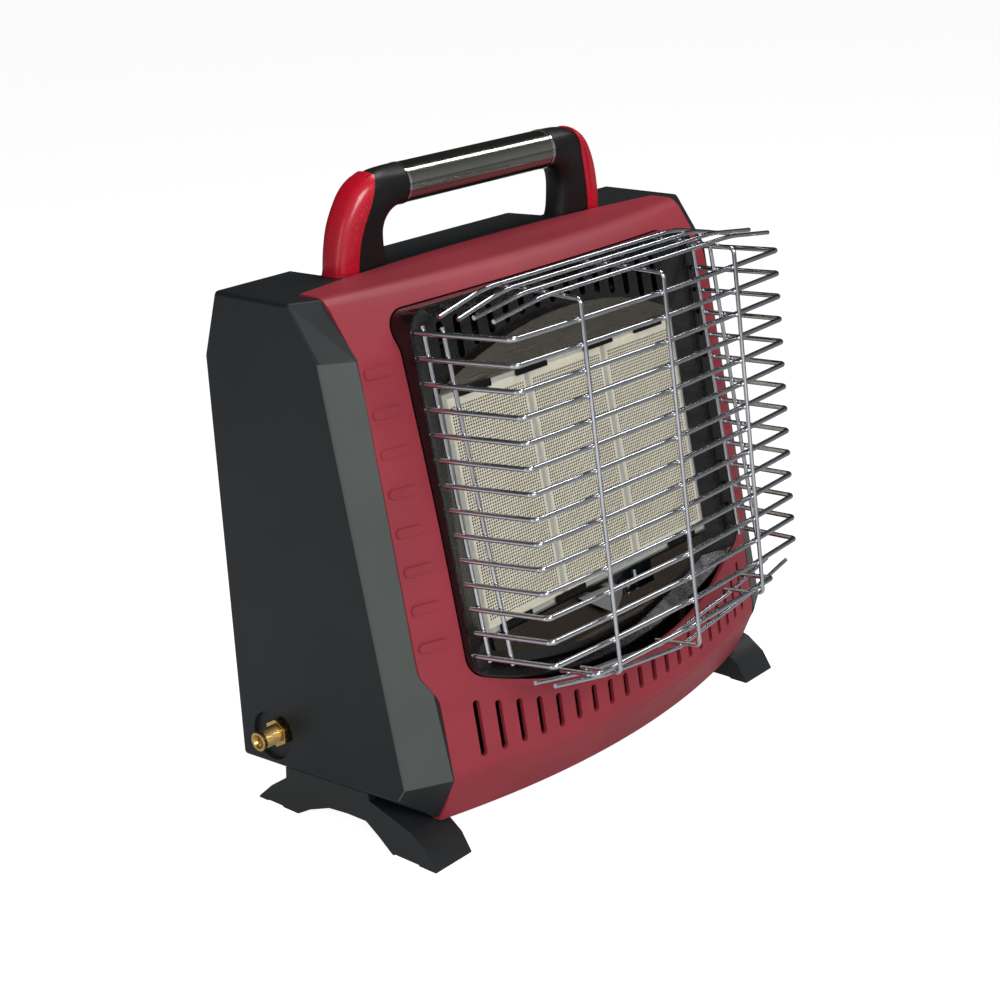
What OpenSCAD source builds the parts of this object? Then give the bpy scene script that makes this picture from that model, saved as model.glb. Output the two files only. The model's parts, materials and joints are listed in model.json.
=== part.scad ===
// Portable propane heater: moulded case on two feet, ceramic plaque burner behind a
// wire guard, carrying handle, gas inlet on the left and controls on the right.
// Millimetres, +Z up, front towards -Y, origin on the floor below the middle.

/* [Case] */
// Width over the two side panels
body_w = 340; // [330:1:360]
// Height of the top panel above the floor
body_h = 311; // [305:1:325]
// Depth from the rear panel to the lower front fold, at the sides
body_d = 142; // [138:1:152]
// Height of the case underside at the rear
base_z = 30; // [27:1:34]
// Backward lean of the front, in degrees
front_lean = 9.8; // [9:0.1:10.6]
// How far the front bows forward at its lower fold
crown_low = 30.5; // [24:0.5:33]
// How far the front bows forward just below the window
crown_mid = 32; // [26:0.5:34]
// How far the front bows forward at its upper fold
crown_high = 16; // [10:1:20]
// Width of the slanted strip between side panel and bezel
strip_w = 17; // [14:1:22]
// Wall of the moulded case
shell_t = 2.5; // [2:0.1:3]

/* [Bezel] */
// Wall of the bezel
bezel_t = 2.5; // [2:0.1:3]
// Number of intake slots under the window
slot_count = 20; // [12:2:20]
// Distance between neighbouring intake slots
slot_pitch = 13.1; // [11:0.1:13.4]
// Width of an intake slot
slot_w = 4; // [3:0.1:5]
// Number of raised ribs on each side of the window
rib_count = 8; // [4:1:9]
// Length of a raised rib
rib_len = 18; // [12:1:20]

/* [Window] */
// Width of the window frame
win_w = 250.6; // [240:0.2:254]
// Reach of the window frame above the plaque centre line
win_top = 119; // [112:1:122]
// Reach of the window frame below the plaque centre line
win_low = 111; // [108:1:114]
// Height of the plaque centre above the floor
win_z = 186; // [182:1:190]
// Sheet metal of the window frame and burner
sheet_t = 1.2; // [0.8:0.1:1.5]

/* [Burner] */
// Width of one ceramic plaque
plaque_w = 64.6; // [60:0.2:66]
// Height of a ceramic plaque
plaque_h = 132; // [124:1:134]
// Thickness of a ceramic plaque
plaque_t = 13; // [10:1:14]
// Width of the gasket joint between plaques
joint_w = 3.5; // [2.5:0.1:4]
// Depth of the burner box behind the plaques
plenum_d = 22; // [16:1:26]

/* [Guard] */
// Diameter of the crossbars
wire_d = 3; // [2.4:0.1:3.4]
// Diameter of the upright wires
upright_d = 2.5; // [2:0.1:3]
// Number of crossbars
bar_count = 14; // [10:1:14]
// Distance between neighbouring crossbars
bar_pitch = 13.6; // [12:0.1:13.8]
// Reach of the top crossbar in front of the rear panel
guard_reach = 180; // [172:1:186]
// Inside radius of the wire bends
wire_bend = 2; // [1.5:0.1:4]
// How far the top crossbar bows forward in the middle
guard_bow = 3.8; // [0:0.2:5]
// How far the lowest crossbar bows forward in the middle
guard_bow_low = 5.6; // [0:0.2:7]

/* [Handle] */
// Length of the metal sleeve between the arms
grip_len = 122; // [110:1:130]
// Diameter of the metal sleeve
grip_d = 23; // [20:0.5:25]
// Height of the sleeve's axis above the top panel
grip_rise = 43; // [40:1:50]
// Wall of the metal sleeve
grip_t = 1.2; // [0.8:0.1:1.5]

/* [Feet] */
// Width of a foot
foot_w = 29; // [24:1:34]
// Distance from a foot's outer face to the side panel
foot_inset = 6; // [3:1:12]
// Height of the arch under a foot
arch_h = 14; // [10:1:16]

/* [Gas and controls] */
// Outside diameter of the inlet's stub
inlet_d = 11.5; // [10:0.5:13]
// Hexagon of the inlet, across flats
inlet_af = 15; // [14:1:17]
// Reach of the inlet and of the knob beyond the side panels
side_reach = 17; // [16:1:22]
// Outside diameter of the gas pipes
pipe_d = 6; // [5:0.5:6.5]
// Diameter of the control knob
knob_d = 40; // [34:1:42]
// Travel of the control knob when it is pushed
knob_push = 4; // [3:0.5:5]
// Diameter of the valve stem
stem_d = 6; // [5:0.5:7]
// Diameter of the igniter button
button_d = 12; // [10:0.5:14]
// Travel of the igniter button
button_push = 4; // [3:0.5:5]

/* [Fits] */
// Gap between parts that are assembled against each other
seat_gap = 0.15; // [0.1:0.05:0.2]
// Radial clearance of turning and sliding shafts
run_gap = 0.08; // [0.05:0.01:0.1]

/* [Hidden] */
$fn = 48;
eps = 0.01;
bend_lap = 0.3;
bend_swell = 0.05;

// case outline, measured from the rear panel at y = 0 with the front at -y
half_w = body_w / 2;
strip_x = half_w - strip_w;
fold_low = base_z + 19;
fold_high = body_h - 30;
rear_kink = body_h - 38;
top_rear_y = -12;
strip_d = 14;
strip_d_low = 7;
crown_ref = strip_x + 5;
crown_mid_z = fold_low + 41;
bezel_low_x = strip_x - 8.7;
bezel_floor_z = base_z - 10.5;
toe_in = 12;
toe_crown = crown_low - 5;
bezel_seam = 51;
bezel_seam_end = 62.6;
bottom_return = 38;
corner_r = 3;

// leaned frame that carries the window, the burner and the guard
rim_lean = front_lean + 0.45;
rim_y = front_y(win_z) - 15.6;
rim_d = 24;
dish_y = 9.5;
dish_half = win_w / 2 - 21;
rib_lift = 1;
win_arc_r = 285;
win_corner_r = 14;
lug_v = [-58, 78];
lip_arc_r = 244;
lip_v = win_top - 24;
plaque_y = 8;
field_w = 3 * plaque_w + 2 * joint_w;
gasket_w = 2.4;
box_w = field_w + 2 * gasket_w + 0.4;
box_h = plaque_h + 2 * gasket_w + 0.4;
box_back = plaque_y + 1 + plaque_t + plenum_d;
box_screw_x = 75;
box_screw_v = box_h / 2 + sheet_t + 3.2;
arch_low = box_h / 2 + sheet_t + seat_gap;
trough_h = 25;
trough_in = 6;
pilot_x = 29;
pilot_y = 16;

// guard
leg_x = win_w / 2 - 3;
leg_in = 3;
leg_rise = 5;
bend_x = leg_x - 3.3;
bar_taper = 3.9;
tail = 0.06;
bar_lean = 5.5;
bar_top_z = fold_high + 15.2;
weld = (wire_d + upright_d) / 2 + 0.05;
low_bar_half = 85;
bow_r = 160;
low_slope = 0.154;
upright_x = 69;
upright_low_z = bar_top_z - (bar_count - 1) * bar_pitch - 18.6;
upright_low_drop = 8;
side_uprights = [[0.1, 0.17], [0.3, 0.45]];
top_leg = [[-128, bar_top_z + 10.7], [-150, bar_top_z + 11.6], bar_top_z + 11.1];
top_leg_r = 150;
top_bar_n = 4;
top_bar_pitch = 13.3;
top_bar_bend = 84;
top_bar_half = 120;
top_bar_drop = 8;
low_bar_end = 111;
low_bar_n = 2;
low_bar_pitch = 14;
front_reach = -upright_y(upright_low(0), 0) + upright_d / 2;

// handle
grip_z = body_h + grip_rise;
grip_y = -48.2;
arm_y = -37.5;
arm_depth = 26.4;
arm_floor = body_h - 22;
elbow_in = 12;
elbow_x = grip_len / 2 + 3.5;
elbow_z = grip_z - elbow_in - 11.1;
arm_screw_x = elbow_x + 25;
core_d = grip_d - 2 * grip_t - 2 * seat_gap;
core_x = grip_len / 2 + 12;
ring_w = 1.6;

// feet
foot_x = half_w - foot_inset;
foot_front = body_d + 6;
foot_rear = 4;
screw_rows = [-45, -85];

// gas and controls
inlet_y = -35;
inlet_z = base_z + 25.4;
inlet_recess = [-27.2, base_z + 20.2, 14.8];
inlet_seat_r = 10.5;
inlet_recess_d = 2.5;
knob_y = -62;
knob_z = base_z + 120;
button_z = base_z + 66;
well_d = knob_push + 1.5;
well_r = knob_d / 2 + 1.5;
valve_w = 30;
valve_x = half_w - well_d - shell_t - 12 - valve_w;
collar_r = 10;
collar_x = valve_x + valve_w + 9;
mixer_x = 60;
mixer_d = 22;
mixer_v = -50;
mixer_turn = leaned_point([0, box_back + 34, mixer_v]);
mixer_path = [
    [mixer_x, mixer_turn[1], mixer_turn[2]],
    mixer_turn,
    leaned_point([0, box_back - 4, mixer_v])
];

// overall depth is shared equally about the origin
back_y = front_reach / 2;

// ---------- shared functions ----------

// front face at the sides, as y for a height z
function front_y(z) = -body_d + (z - fold_low) * tan(front_lean);
// forward bow of the front for a height z
function crown(z) = lookup(z, [[fold_low, crown_low], [crown_mid_z, crown_mid], [fold_high, crown_high]]);
// the part of that bow which is left at a distance x from the middle
function bow_part(x) = 1 - pow(x / crown_ref, 2);
// a point of the leaned frame, in case coordinates
function leaned_point(p) = [
    p[0],
    rim_y + p[1] * cos(rim_lean) + p[2] * sin(rim_lean),
    win_z - p[1] * sin(rim_lean) + p[2] * cos(rim_lean)
];
function unit(v) = v / norm(v);
function side_of(a) = unit(cross(abs(a[2]) > 0.9 ? [1, 0, 0] : [0, 0, 1], a));
// column vectors and origin as a placement matrix
function placement(x, y, z, o) = [
    [x[0], y[0], z[0], o[0]],
    [x[1], y[1], z[1], o[1]],
    [x[2], y[2], z[2], o[2]],
    [0, 0, 0, 1]
];
// half of the angle by which a path turns at point i
function half_turn(p, i) = acos(min(1, unit(p[i] - p[i - 1]) * unit(p[i + 1] - p[i]))) / 2;
// bend radius at point i, from one radius for all points or from a list
function bend_at(bend, i) = is_list(bend) ? bend[i] : bend;
// how much of a straight run the bend at point i takes
function trim_at(p, i, bend) = (i <= 0 || i >= len(p) - 1) ? 0 : bend_at(bend, i) * tan(half_turn(p, i));

// ---------- shared modules ----------

// shift from case coordinates to the frame's origin
module placed() {
    translate([0, back_y, 0]) children();
}

// placement in the leaned frame: local z runs up the window, local y goes inwards
module leaned() {
    translate([0, rim_y, win_z]) rotate([-rim_lean, 0, 0]) children();
}

// a flat outline in x and z, standing between y0 and y1
module upright_prism(y0, y1) {
    translate([0, y1, 0]) rotate([90, 0, 0]) linear_extrude(y1 - y0) children();
}

// a cylinder along x from x0 to x1
module rod_x(x0, x1, r) {
    translate([min(x0, x1), 0, 0]) rotate([0, 90, 0]) cylinder(h = abs(x1 - x0), r = r);
}

// a cylinder along y from y0 to y1
module rod_y(y0, y1, r) {
    translate([0, max(y0, y1), 0]) rotate([90, 0, 0]) cylinder(h = abs(y1 - y0), r = r);
}

// round wire or pipe of radius r along the points p, with bends of centre radius bend, one
// for all points or a list of them;
// the bends are a hair thicker, so that the straights end inside them
module wire(p, r, bend) {
    last = len(p) - 2;
    for (i = [0 : last]) {
        dir = unit(p[i + 1] - p[i]);
        from = trim_at(p, i, bend) - (i > 0 ? bend_lap : 0);
        to = norm(p[i + 1] - p[i]) - trim_at(p, i + 1, bend) + (i < last ? bend_lap : 0);
        side = side_of(dir);
        multmatrix(placement(side, cross(dir, side), dir, p[i] + dir * from))
            cylinder(h = to - from, r = r, $fn = 24);
    }
    if (last > 0) for (i = [1 : last]) {
        into = unit(p[i] - p[i - 1]);
        out = unit(p[i + 1] - p[i]);
        inward = unit(out - (into * out) * into);
        centre = p[i] - into * trim_at(p, i, bend) + inward * bend_at(bend, i);
        multmatrix(placement(-inward, into, cross(-inward, into), centre))
            rotate_extrude(angle = 2 * half_turn(p, i), $fn = 48)
                translate([bend_at(bend, i), 0]) circle(r = r + bend_swell, $fn = 24);
    }
}

// pan head screw along +z with its head above z = 0
module pan_screw(d, length) {
    cylinder(h = d * 0.45, r1 = d * 0.95, r2 = d * 0.7);
    translate([0, 0, -length]) cylinder(h = length, r = d / 2);
}

// hexagonal prism along x
module hex_x(x0, x1, af) {
    translate([min(x0, x1), 0, 0]) rotate([0, 90, 0])
        rotate([0, 0, 30]) cylinder(h = abs(x1 - x0), r = af / 2 / cos(30), $fn = 6);
}

// ---------- case ----------

// side profile corners (y, z) of the case, pulled inwards by t
function side_profile(t) = [
    [-t, base_z + t],
    [-t, rear_kink],
    [top_rear_y - t, body_h - t],
    [strip_side_y(body_h) + t, body_h - t],
    [strip_side_y(fold_high) + t, fold_high],
    [strip_side_y(fold_low) + t, fold_low],
    [-body_d + 12 + t, base_z + 8.4 + t]
];
// front edge of the side panel for a height z
function strip_side_y(z) = z >= fold_high
    ? front_y(fold_high) + strip_d - 4 + (z - fold_high) * 0.65
    : front_y(z) + strip_d_low + (strip_d - 4 - strip_d_low) * (z - fold_low) / (fold_high - fold_low);
// front corners (x, y, z) where the strip meets the bezel, pulled inwards by t
function strip_profile(t) = [
    [strip_x, front_y(fold_high) + 23 - crown_high * bow_part(strip_x) + t, body_h - t],
    [strip_x, front_y(fold_high) - crown_high * bow_part(strip_x) + t, fold_high],
    [bezel_low_x, front_y(fold_low) - crown_low * bow_part(bezel_low_x) + t, fold_low],
    [bezel_low_x, front_y(fold_low) + toe_in - toe_crown * bow_part(bezel_low_x) + t, base_z - 9 + t]
];

// solid of the whole case without the bow of the bezel, pulled inwards by t
module case_block(t, r) {
    hull() for (s = [-1, 1]) {
        for (p = side_profile(t + r)) translate([s * (half_w - t - r), p[0], p[1]]) corner_ball(r);
        for (p = strip_profile(t + r)) translate([s * (p[0] - t / 2), p[1], p[2]]) corner_ball(r);
    }
}

module corner_ball(r) {
    sphere(r = r, $fn = 20);
}

// front view of the bezel, grown by g
module bezel_outline(g) {
    right = [
        [strip_x + g, body_h + 20],
        [strip_x + g, fold_low + 66],
        [strip_x - 0.3 + g, fold_low + 62],
        [strip_x - 1.3 + g, fold_low + 59],
        [bezel_low_x + 1.2 + g, fold_low + 47.5],
        [bezel_low_x + 0.3 + g, fold_low + 45],
        [bezel_low_x + g, fold_low + 42],
        [bezel_low_x + g, 0]
    ];
    left = [for (i = [len(right) - 1 : -1 : 0]) [-right[i][0], right[i][1]]];
    polygon(concat(right, left));
}

// horizontal slice of the bowed front at height z
module front_slice(z, y_side, bow, y_rear) {
    steps = 20;
    bowed = [for (i = [-steps : steps]) let (x = crown_ref * i / steps) [x, y_side - bow * bow_part(x)]];
    translate([0, 0, z]) linear_extrude(eps)
        polygon(concat(bowed, [[crown_ref, y_rear], [-crown_ref, y_rear]]));
}

// solid below the bowed front, pulled inwards by t
module front_block(t, y_rear) {
    top = body_h + 1 - t;
    hull() {
        front_slice(bezel_floor_z + t, front_y(fold_low) + toe_in + t, toe_crown, y_rear);
        front_slice(fold_low - 2, front_y(fold_low) + 0.9 + t, crown_low, y_rear);
        front_slice(fold_low + 2, front_y(fold_low) + 0.5 + t, crown_low, y_rear);
        front_slice(crown_mid_z, front_y(crown_mid_z) + t, crown_mid, y_rear);
        front_slice(fold_high - 1, front_y(fold_high) + 0.2 + t, crown_high, y_rear);
        front_slice(fold_high + 2, front_y(fold_high) + 1.6 + t, crown_high, y_rear);
        front_slice(top - 5, front_y(fold_high) + 18.5 + t, crown_high - 2, y_rear);
        front_slice(top - 1.6, front_y(fold_high) + 22.5 + t, crown_high - 2, y_rear);
        front_slice(top - eps, front_y(fold_high) + 26.5 + t, crown_high - 2, y_rear);
    }
}

// region in front of the bezel's rear edge, which is bowed to the rear; g grows it
module seam_region(g) {
    rise = bezel_seam_end - bezel_seam;
    r = (strip_x * strip_x + rise * rise) / (2 * rise);
    translate([0, -bezel_seam - r, 0]) cylinder(h = 2 * body_h, r = r + g, $fn = 240);
}

// side view of the bezel, as far back as it reaches into the case, grown by g
module bezel_side(g) {
    top = body_h - 8 - g;
    polygon([
        [-3 * body_d, 0],
        [front_y(fold_low) + bottom_return + g, 0],
        [front_y(fold_low) + bottom_return + g, fold_low + 20],
        [front_y(top) + bottom_return + g, top],
        [0, top],
        [0, 2 * body_h],
        [-3 * body_d, 2 * body_h]
    ]);
}

// everything that belongs to the bezel, grown by g
module bezel_region(g) {
    intersection() {
        upright_prism(-3 * body_d, 0) bezel_outline(g);
        seam_region(g);
        translate([-half_w, 0, 0]) rotate([90, 0, 90]) linear_extrude(body_w) bezel_side(g);
    }
}

// plan view of the slots that let the handle arms through, open to the rear
module arm_slot_outline(s) {
    polygon([
        [s * (elbow_x + 8.5), arm_y],
        [s * (elbow_x + 0.5), 5],
        [s * (elbow_x + 52), 5],
        [s * (elbow_x + 49.5), arm_y]
    ]);
}

// cross-section of a handle arm in plan, grown by g
module arm_section(s, g) {
    translate([s * (elbow_x + 30.25), arm_y]) scale([(18.25 + g) / 10, (arm_depth / 2 + g) / 10]) circle(r = 10);
}

module housing() placed() color([0.16, 0.17, 0.19]) {
    panel_x = half_w - 20;
    difference() {
        union() {
            difference() {
                case_block(0, corner_r);
                case_block(shell_t, 0.5);
            }
            // pockets below the handle arms
            intersection() {
                case_block(0.5, 0.5);
                for (s = [-1, 1]) translate([0, 0, arm_floor - shell_t])
                    linear_extrude(body_h) translate([s * (elbow_x + 27), -27]) square([60, 60], center = true);
            }
            // bosses of the foot screws
            intersection() {
                case_block(0.5, 0.5);
                for (s = [-1, 1]) for (y = screw_rows)
                    translate([s * (foot_x - foot_w / 2), y, 0]) cylinder(h = base_z + 6, r = 5);
            }
            // ledge behind the rear panel
            intersection() {
                case_block(0.5, 0.5);
                difference() {
                    upright_prism(-6, -shell_t / 2) translate([-panel_x - 6, base_z + 6])
                        square([2 * panel_x + 12, rear_kink - base_z - 12]);
                    upright_prism(-7, 0) translate([-panel_x + 8, base_z + 20])
                        square([2 * panel_x - 16, rear_kink - base_z - 40]);
                }
            }
            // seat of the inlet and well of the knob
            translate([-half_w + 1, 0, 0]) {
                translate([0, inlet_recess[0], inlet_recess[1]]) rod_x(0, inlet_recess_d + shell_t - 1, inlet_recess[2] + 2);
                translate([0, inlet_y, inlet_z]) rod_x(0, inlet_recess_d + shell_t - 1, inlet_seat_r + 2);
            }
            translate([half_w - 1, knob_y, knob_z]) rod_x(0, -well_d - shell_t + 1, well_r + shell_t);
        }
        bezel_region(seat_gap);
        // rear opening down to its ledge
        upright_prism(-3.2, 5) translate([-panel_x, base_z + 12])
            square([2 * panel_x, rear_kink - base_z - 24]);
        // recess and hole of the inlet
        translate([0, inlet_recess[0], inlet_recess[1]])
            rod_x(-half_w - 1, -half_w + inlet_recess_d, inlet_recess[2]);
        translate([0, inlet_y, inlet_z]) {
            rod_x(-half_w - 1, -half_w + inlet_recess_d, inlet_seat_r);
            rod_x(-half_w - 1, -half_w + 20, inlet_d / 2 - 1 + seat_gap);
        }
        // well and hole of the knob, hole of the igniter
        translate([0, knob_y, knob_z]) {
            rod_x(half_w - well_d, half_w + 1, well_r);
            rod_x(half_w - 20, half_w + 1, stem_d / 2 + 3 + seat_gap);
        }
        translate([0, knob_y, button_z]) rod_x(half_w - 20, half_w + 1, button_d / 2 + 2 + seat_gap);
        // slots for the handle arms
        for (s = [-1, 1]) translate([0, 0, arm_floor]) linear_extrude(body_h) {
            arm_slot_outline(s);
            arm_section(s, seat_gap);
        }
        // holes of the screws for feet, handle and rear panel
        for (s = [-1, 1]) {
            for (y = screw_rows) translate([s * (foot_x - foot_w / 2), y, 0]) cylinder(h = base_z + 20, r = 2);
            translate([s * arm_screw_x, arm_y, arm_floor - 10]) cylinder(h = 15, r = 2.1);
            for (z = [base_z + 17 + seat_gap, rear_kink - 17 - seat_gap])
                translate([s * (panel_x - seat_gap - 5), 0, z]) rod_y(-7, 0, 1.9);
        }
    }
}

module back_panel() placed() color([0.2, 0.21, 0.22]) {
    w = half_w - 20 - seat_gap;
    z0 = base_z + 12 + seat_gap;
    z1 = rear_kink - 12 - seat_gap;
    rows = 3;
    cols = 9;
    difference() {
        upright_prism(-3, -1.8) translate([-w, z0]) square([2 * w, z1 - z0]);
        for (row = [0 : rows - 1]) for (col = [0 : cols - 1])
            translate([(col - (cols - 1) / 2) * 2 * w / (cols + 1), 0, z0 + (z1 - z0) * (row + 1) / (rows + 1)])
                upright_prism(-4, 0) rotate(90) pill(22, 5);
        for (x = [-1, 1]) for (z = [z0 + 5, z1 - 5]) translate([x * (w - 5), 0, z]) rod_y(-5, 0, 2.1);
    }
}

module back_screws() placed() color([0.7, 0.7, 0.72]) {
    w = half_w - 20 - seat_gap - 5;
    for (x = [-1, 1]) for (z = [base_z + 17 + seat_gap, rear_kink - 17 - seat_gap])
        translate([x * w, -1.75, z]) rotate([-90, 0, 0]) pan_screw(3.6, 4);
}

// ---------- bezel ----------

// window opening or window frame in the leaned frame, grown by g
module window_outline(g) {
    offset(r = win_corner_r + g) offset(delta = -win_corner_r) intersection() {
        translate([-win_w / 2, -win_low]) square([win_w, win_low + win_top]);
        translate([0, win_arc_r - win_low]) circle(r = win_arc_r, $fn = 200);
    }
}

module front_bezel() placed() color([0.6, 0.15, 0.2]) {
    slot_low = fold_low + 7.5;
    slot_high = fold_low + 22.6;
    slot_end_x = (slot_count - 1) * slot_pitch / 2;
    difference() {
        intersection() {
            front_block(0, -bezel_seam + 10);
            bezel_region(0);
        }
        front_block(bezel_t, 0);
        leaned() upright_prism(-80, 60) window_outline(seat_gap + 0.4);
        // intake slots, longer towards the sides
        for (i = [0 : slot_count - 1]) {
            x = (i - (slot_count - 1) / 2) * slot_pitch;
            low = slot_low + 1.3 * bow_part(x);
            high = slot_high + 17.8 * pow(x / slot_end_x, 2);
            translate([x, 0, 0]) upright_prism(-2 * body_d, -body_d / 2) {
                translate([0, low + slot_w / 2]) circle(d = slot_w, $fn = 24);
                translate([0, high - slot_w / 2]) circle(d = slot_w, $fn = 24);
                translate([-slot_w / 2, low + slot_w / 2]) square([slot_w, high - low - slot_w]);
            }
        }
    }
    bezel_ribs();
    // bosses that the window frame is screwed to
    difference() {
        intersection() {
            leaned() for (s = [-1, 1]) for (v = lug_v)
                translate([s * (win_w / 2 + 5), 0, v]) rod_y(0, rim_d - sheet_t - 0.1, 4);
            front_block(1, -bezel_seam + 10);
        }
        leaned() for (s = [-1, 1]) for (v = lug_v) translate([s * (win_w / 2 + 5), 0, v]) rod_y(14, 40, 1.7);
    }
}

// raised ribs beside the window
module bezel_ribs() {
    rib_x = (win_w / 2 + strip_x) / 2 + 3.1;
    for (s = [-1, 1]) for (i = [0 : rib_count - 1]) {
        z = fold_high - 7.5 - i * 21.2;
        t = (z - crown_mid_z) / (fold_high - crown_mid_z);
        y = front_y(z) - crown(z) * bow_part(rib_x) - 4 * rib_lift * t * (1 - t);
        turn = atan(2 * crown(z) * rib_x / pow(crown_ref, 2));
        translate([s * rib_x, y, z]) rotate([-front_lean, 0, s * turn]) intersection() {
            rod_pill(rib_len, 5.6, 1.1);
            rod_pill_round(rib_len, 5.6, 1.1);
        }
    }
}

// flat pill of length l and height h, standing proud by p and sunk by p
module rod_pill(l, h, p) {
    upright_prism(-p, 1.2) {
        for (e = [-1, 1]) translate([e * (l - h) / 2, 0]) circle(d = h, $fn = 24);
        square([l - h, h], center = true);
    }
}

// softens the pill's edge with two cones at its ends and a slanted bar between them
module rod_pill_round(l, h, p) {
    upright_prism(-p + 0.4, 1.2) square([2 * l, 2 * h], center = true);
    upright_prism(-p, 1.2) {
        for (e = [-1, 1]) translate([e * (l - h) / 2, 0]) circle(d = h - 0.8, $fn = 24);
        square([l - h, h - 0.8], center = true);
    }
}

// ---------- window ----------

// floor of the window dish in the leaned frame, grown by g
module dish_outline(g) {
    offset(r = 10 + g) offset(delta = -10) intersection() {
        translate([-dish_half, -win_low + 6]) square([2 * dish_half, win_low + win_top - 15]);
        translate([0, win_arc_r - win_low]) circle(r = win_arc_r - 8, $fn = 200);
    }
}

// solid of the dish between its rim and its floor, moved inwards by g
module dish_block(g) {
    hull() {
        upright_prism(-1 + g, 0.4 + g) window_outline(-sheet_t + 0.2);
        upright_prism(dish_y - 0.5 + g, dish_y + g) dish_outline(0);
    }
}

module bezel_screws() placed() color([0.7, 0.7, 0.72]) leaned()
    for (s = [-1, 1]) for (v = lug_v)
        translate([s * (win_w / 2 + 5), rim_d + 0.05, v]) rotate([-90, 0, 0]) pan_screw(3.2, 9);

module window_frame() placed() color([0.09, 0.09, 0.1]) {
    difference() {
        leaned() {
            difference() {
                upright_prism(0, rim_d) window_outline(0);
                upright_prism(-1, rim_d + 1) window_outline(-sheet_t);
            }
            difference() {
                dish_block(sheet_t);
                dish_block(0);
                upright_prism(-2, 0) window_outline(5);
                // opening of the burner and of the pilot
                upright_prism(-2, 30) square([box_w + 2 * sheet_t + 2 * seat_gap, box_h + 2 * sheet_t + 2 * seat_gap], center = true);
                upright_prism(-2, 30) translate([pilot_x - 21, -plaque_h / 2 - 26]) square([42, 30]);
                vent_slots();
                for (s = [-1, 1]) for (e = [-1, 1])
                    translate([s * box_screw_x, 0, e * box_screw_v]) rod_y(0, 40, 1.5);
            }
            // lugs that the bezel's bosses are screwed to
            for (s = [-1, 1]) for (v = lug_v) difference() {
                upright_prism(rim_d - sheet_t, rim_d) translate([s * (win_w / 2 + 4.5), v]) square([11, 12], center = true);
                translate([s * (win_w / 2 + 5), 0, v]) rod_y(0, 40, 1.9);
            }
        }
        for (s = [-1, 1]) for (i = [0, bar_count - 1]) guard_leg(s, i, wire_d / 2 + seat_gap, 4);
    }
}

// slots of the vent band above the burner, following the arch
module vent_slots() {
    for (i = [-7 : 7]) {
        x = i * 13.4;
        low = lip_arc(x) + 3 + (abs(i) == 7 ? 4 : 0);
        high = win_top - 10.5 - (abs(i) == 7 ? 1 : 0);
        upright_prism(-2, 30) translate([x, (low + high) / 2]) pill(high - low, 5);
    }
}

// upright pill of height h and width w
module pill(h, w) {
    for (e = [-1, 1]) translate([0, e * (h - w) / 2]) circle(d = w, $fn = 24);
    square([w, h - w], center = true);
}

// height of the arch above the burner for a distance x from the middle
function lip_arc(x) = lip_v - lip_arc_r + sqrt(lip_arc_r * lip_arc_r - x * x);

// region between the plaques and the arch, grown by g
module arch_region(g) {
    intersection() {
        translate([-box_w / 2 - 1, arch_low]) square([box_w + 2, lip_v]);
        translate([0, lip_v - lip_arc_r]) circle(r = lip_arc_r + g, $fn = 240);
    }
}

module upper_reflector() placed() color([0.55, 0.53, 0.5]) leaned() {
    slope = atan((dish_y - 2.6) / (lip_v - arch_low));
    difference() {
        intersection() {
            upright_prism(0, dish_y - 0.1) arch_region(0);
            translate([0, dish_y - 1.4, arch_low]) rotate([slope, 0, 0]) translate([-200, 0, -20]) cube([400, 60, 200]);
        }
        intersection() {
            upright_prism(-1, dish_y + 3) arch_region(-1);
            translate([0, dish_y - 0.4, arch_low]) rotate([slope, 0, 0]) translate([-200, 0, -20]) cube([400, 60, 200]);
        }
    }
}

// cross-section of the lower reflector as (depth, height) points, pushed back by t
function trough(t) = [
    for (k = [0 : 8])
        let (a = 90 * k / 8)
        [2.2 + t + (dish_y - 3.35) * cos(a), -plaque_h / 2 - 5 - trough_h * sin(a)]
];

module lower_reflector() placed() color([0.5, 0.49, 0.47]) leaned() difference() {
    intersection() {
        upright_prism(0, dish_y) dish_outline(-trough_in);
        rotate([90, 0, 90]) translate([0, 0, -dish_half]) linear_extrude(2 * dish_half)
            polygon(concat(trough(0), [for (k = [8 : -1 : 0]) trough(1)[k]]));
    }
    upright_prism(-2, 30) translate([pilot_x - 17, -plaque_h / 2 - 18]) square([34, 22]);
}

// ---------- burner ----------

module burner_box() placed() color([0.6, 0.6, 0.6]) {
    y0 = plaque_y + 1;
    y1 = box_back;
    difference() {
        leaned() {
            difference() {
                upright_prism(y0, y1) square([box_w + 2 * sheet_t, box_h + 2 * sheet_t], center = true);
                upright_prism(y0 - 1, y1 - sheet_t) square([box_w, box_h], center = true);
            }
            // flange behind the dish floor
            difference() {
                upright_prism(dish_y + sheet_t + 0.1, dish_y + 2 * sheet_t + 0.1)
                    square([box_w + 14, box_h + 14], center = true);
                upright_prism(0, 40) square([box_w, box_h], center = true);
                upright_prism(0, 40) translate([pilot_x - 21, -plaque_h / 2 - 30]) square([42, 26]);
                for (s = [-1, 1]) for (e = [-1, 1])
                    translate([s * box_screw_x, 0, e * box_screw_v]) rod_y(0, 40, 1.5);
            }
            // shelf that the plaques rest on
            difference() {
                upright_prism(y0 + plaque_t + 0.1, y0 + plaque_t + 0.1 + sheet_t) square([box_w + 1, box_h + 1], center = true);
                upright_prism(0, 60) square([box_w - 12, box_h - 12], center = true);
            }
        }
        leaned() translate([0, 0, mixer_v]) rod_y(y1 - 5, y1 + 5, mixer_d / 2 + seat_gap);
    }
}

module box_screws() placed() color([0.7, 0.7, 0.72]) leaned()
    for (s = [-1, 1]) for (e = [-1, 1])
        translate([s * box_screw_x, dish_y + 2 * sheet_t + 0.15, e * box_screw_v]) rotate([-90, 0, 0]) pan_screw(2.8, 2.4);

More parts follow.
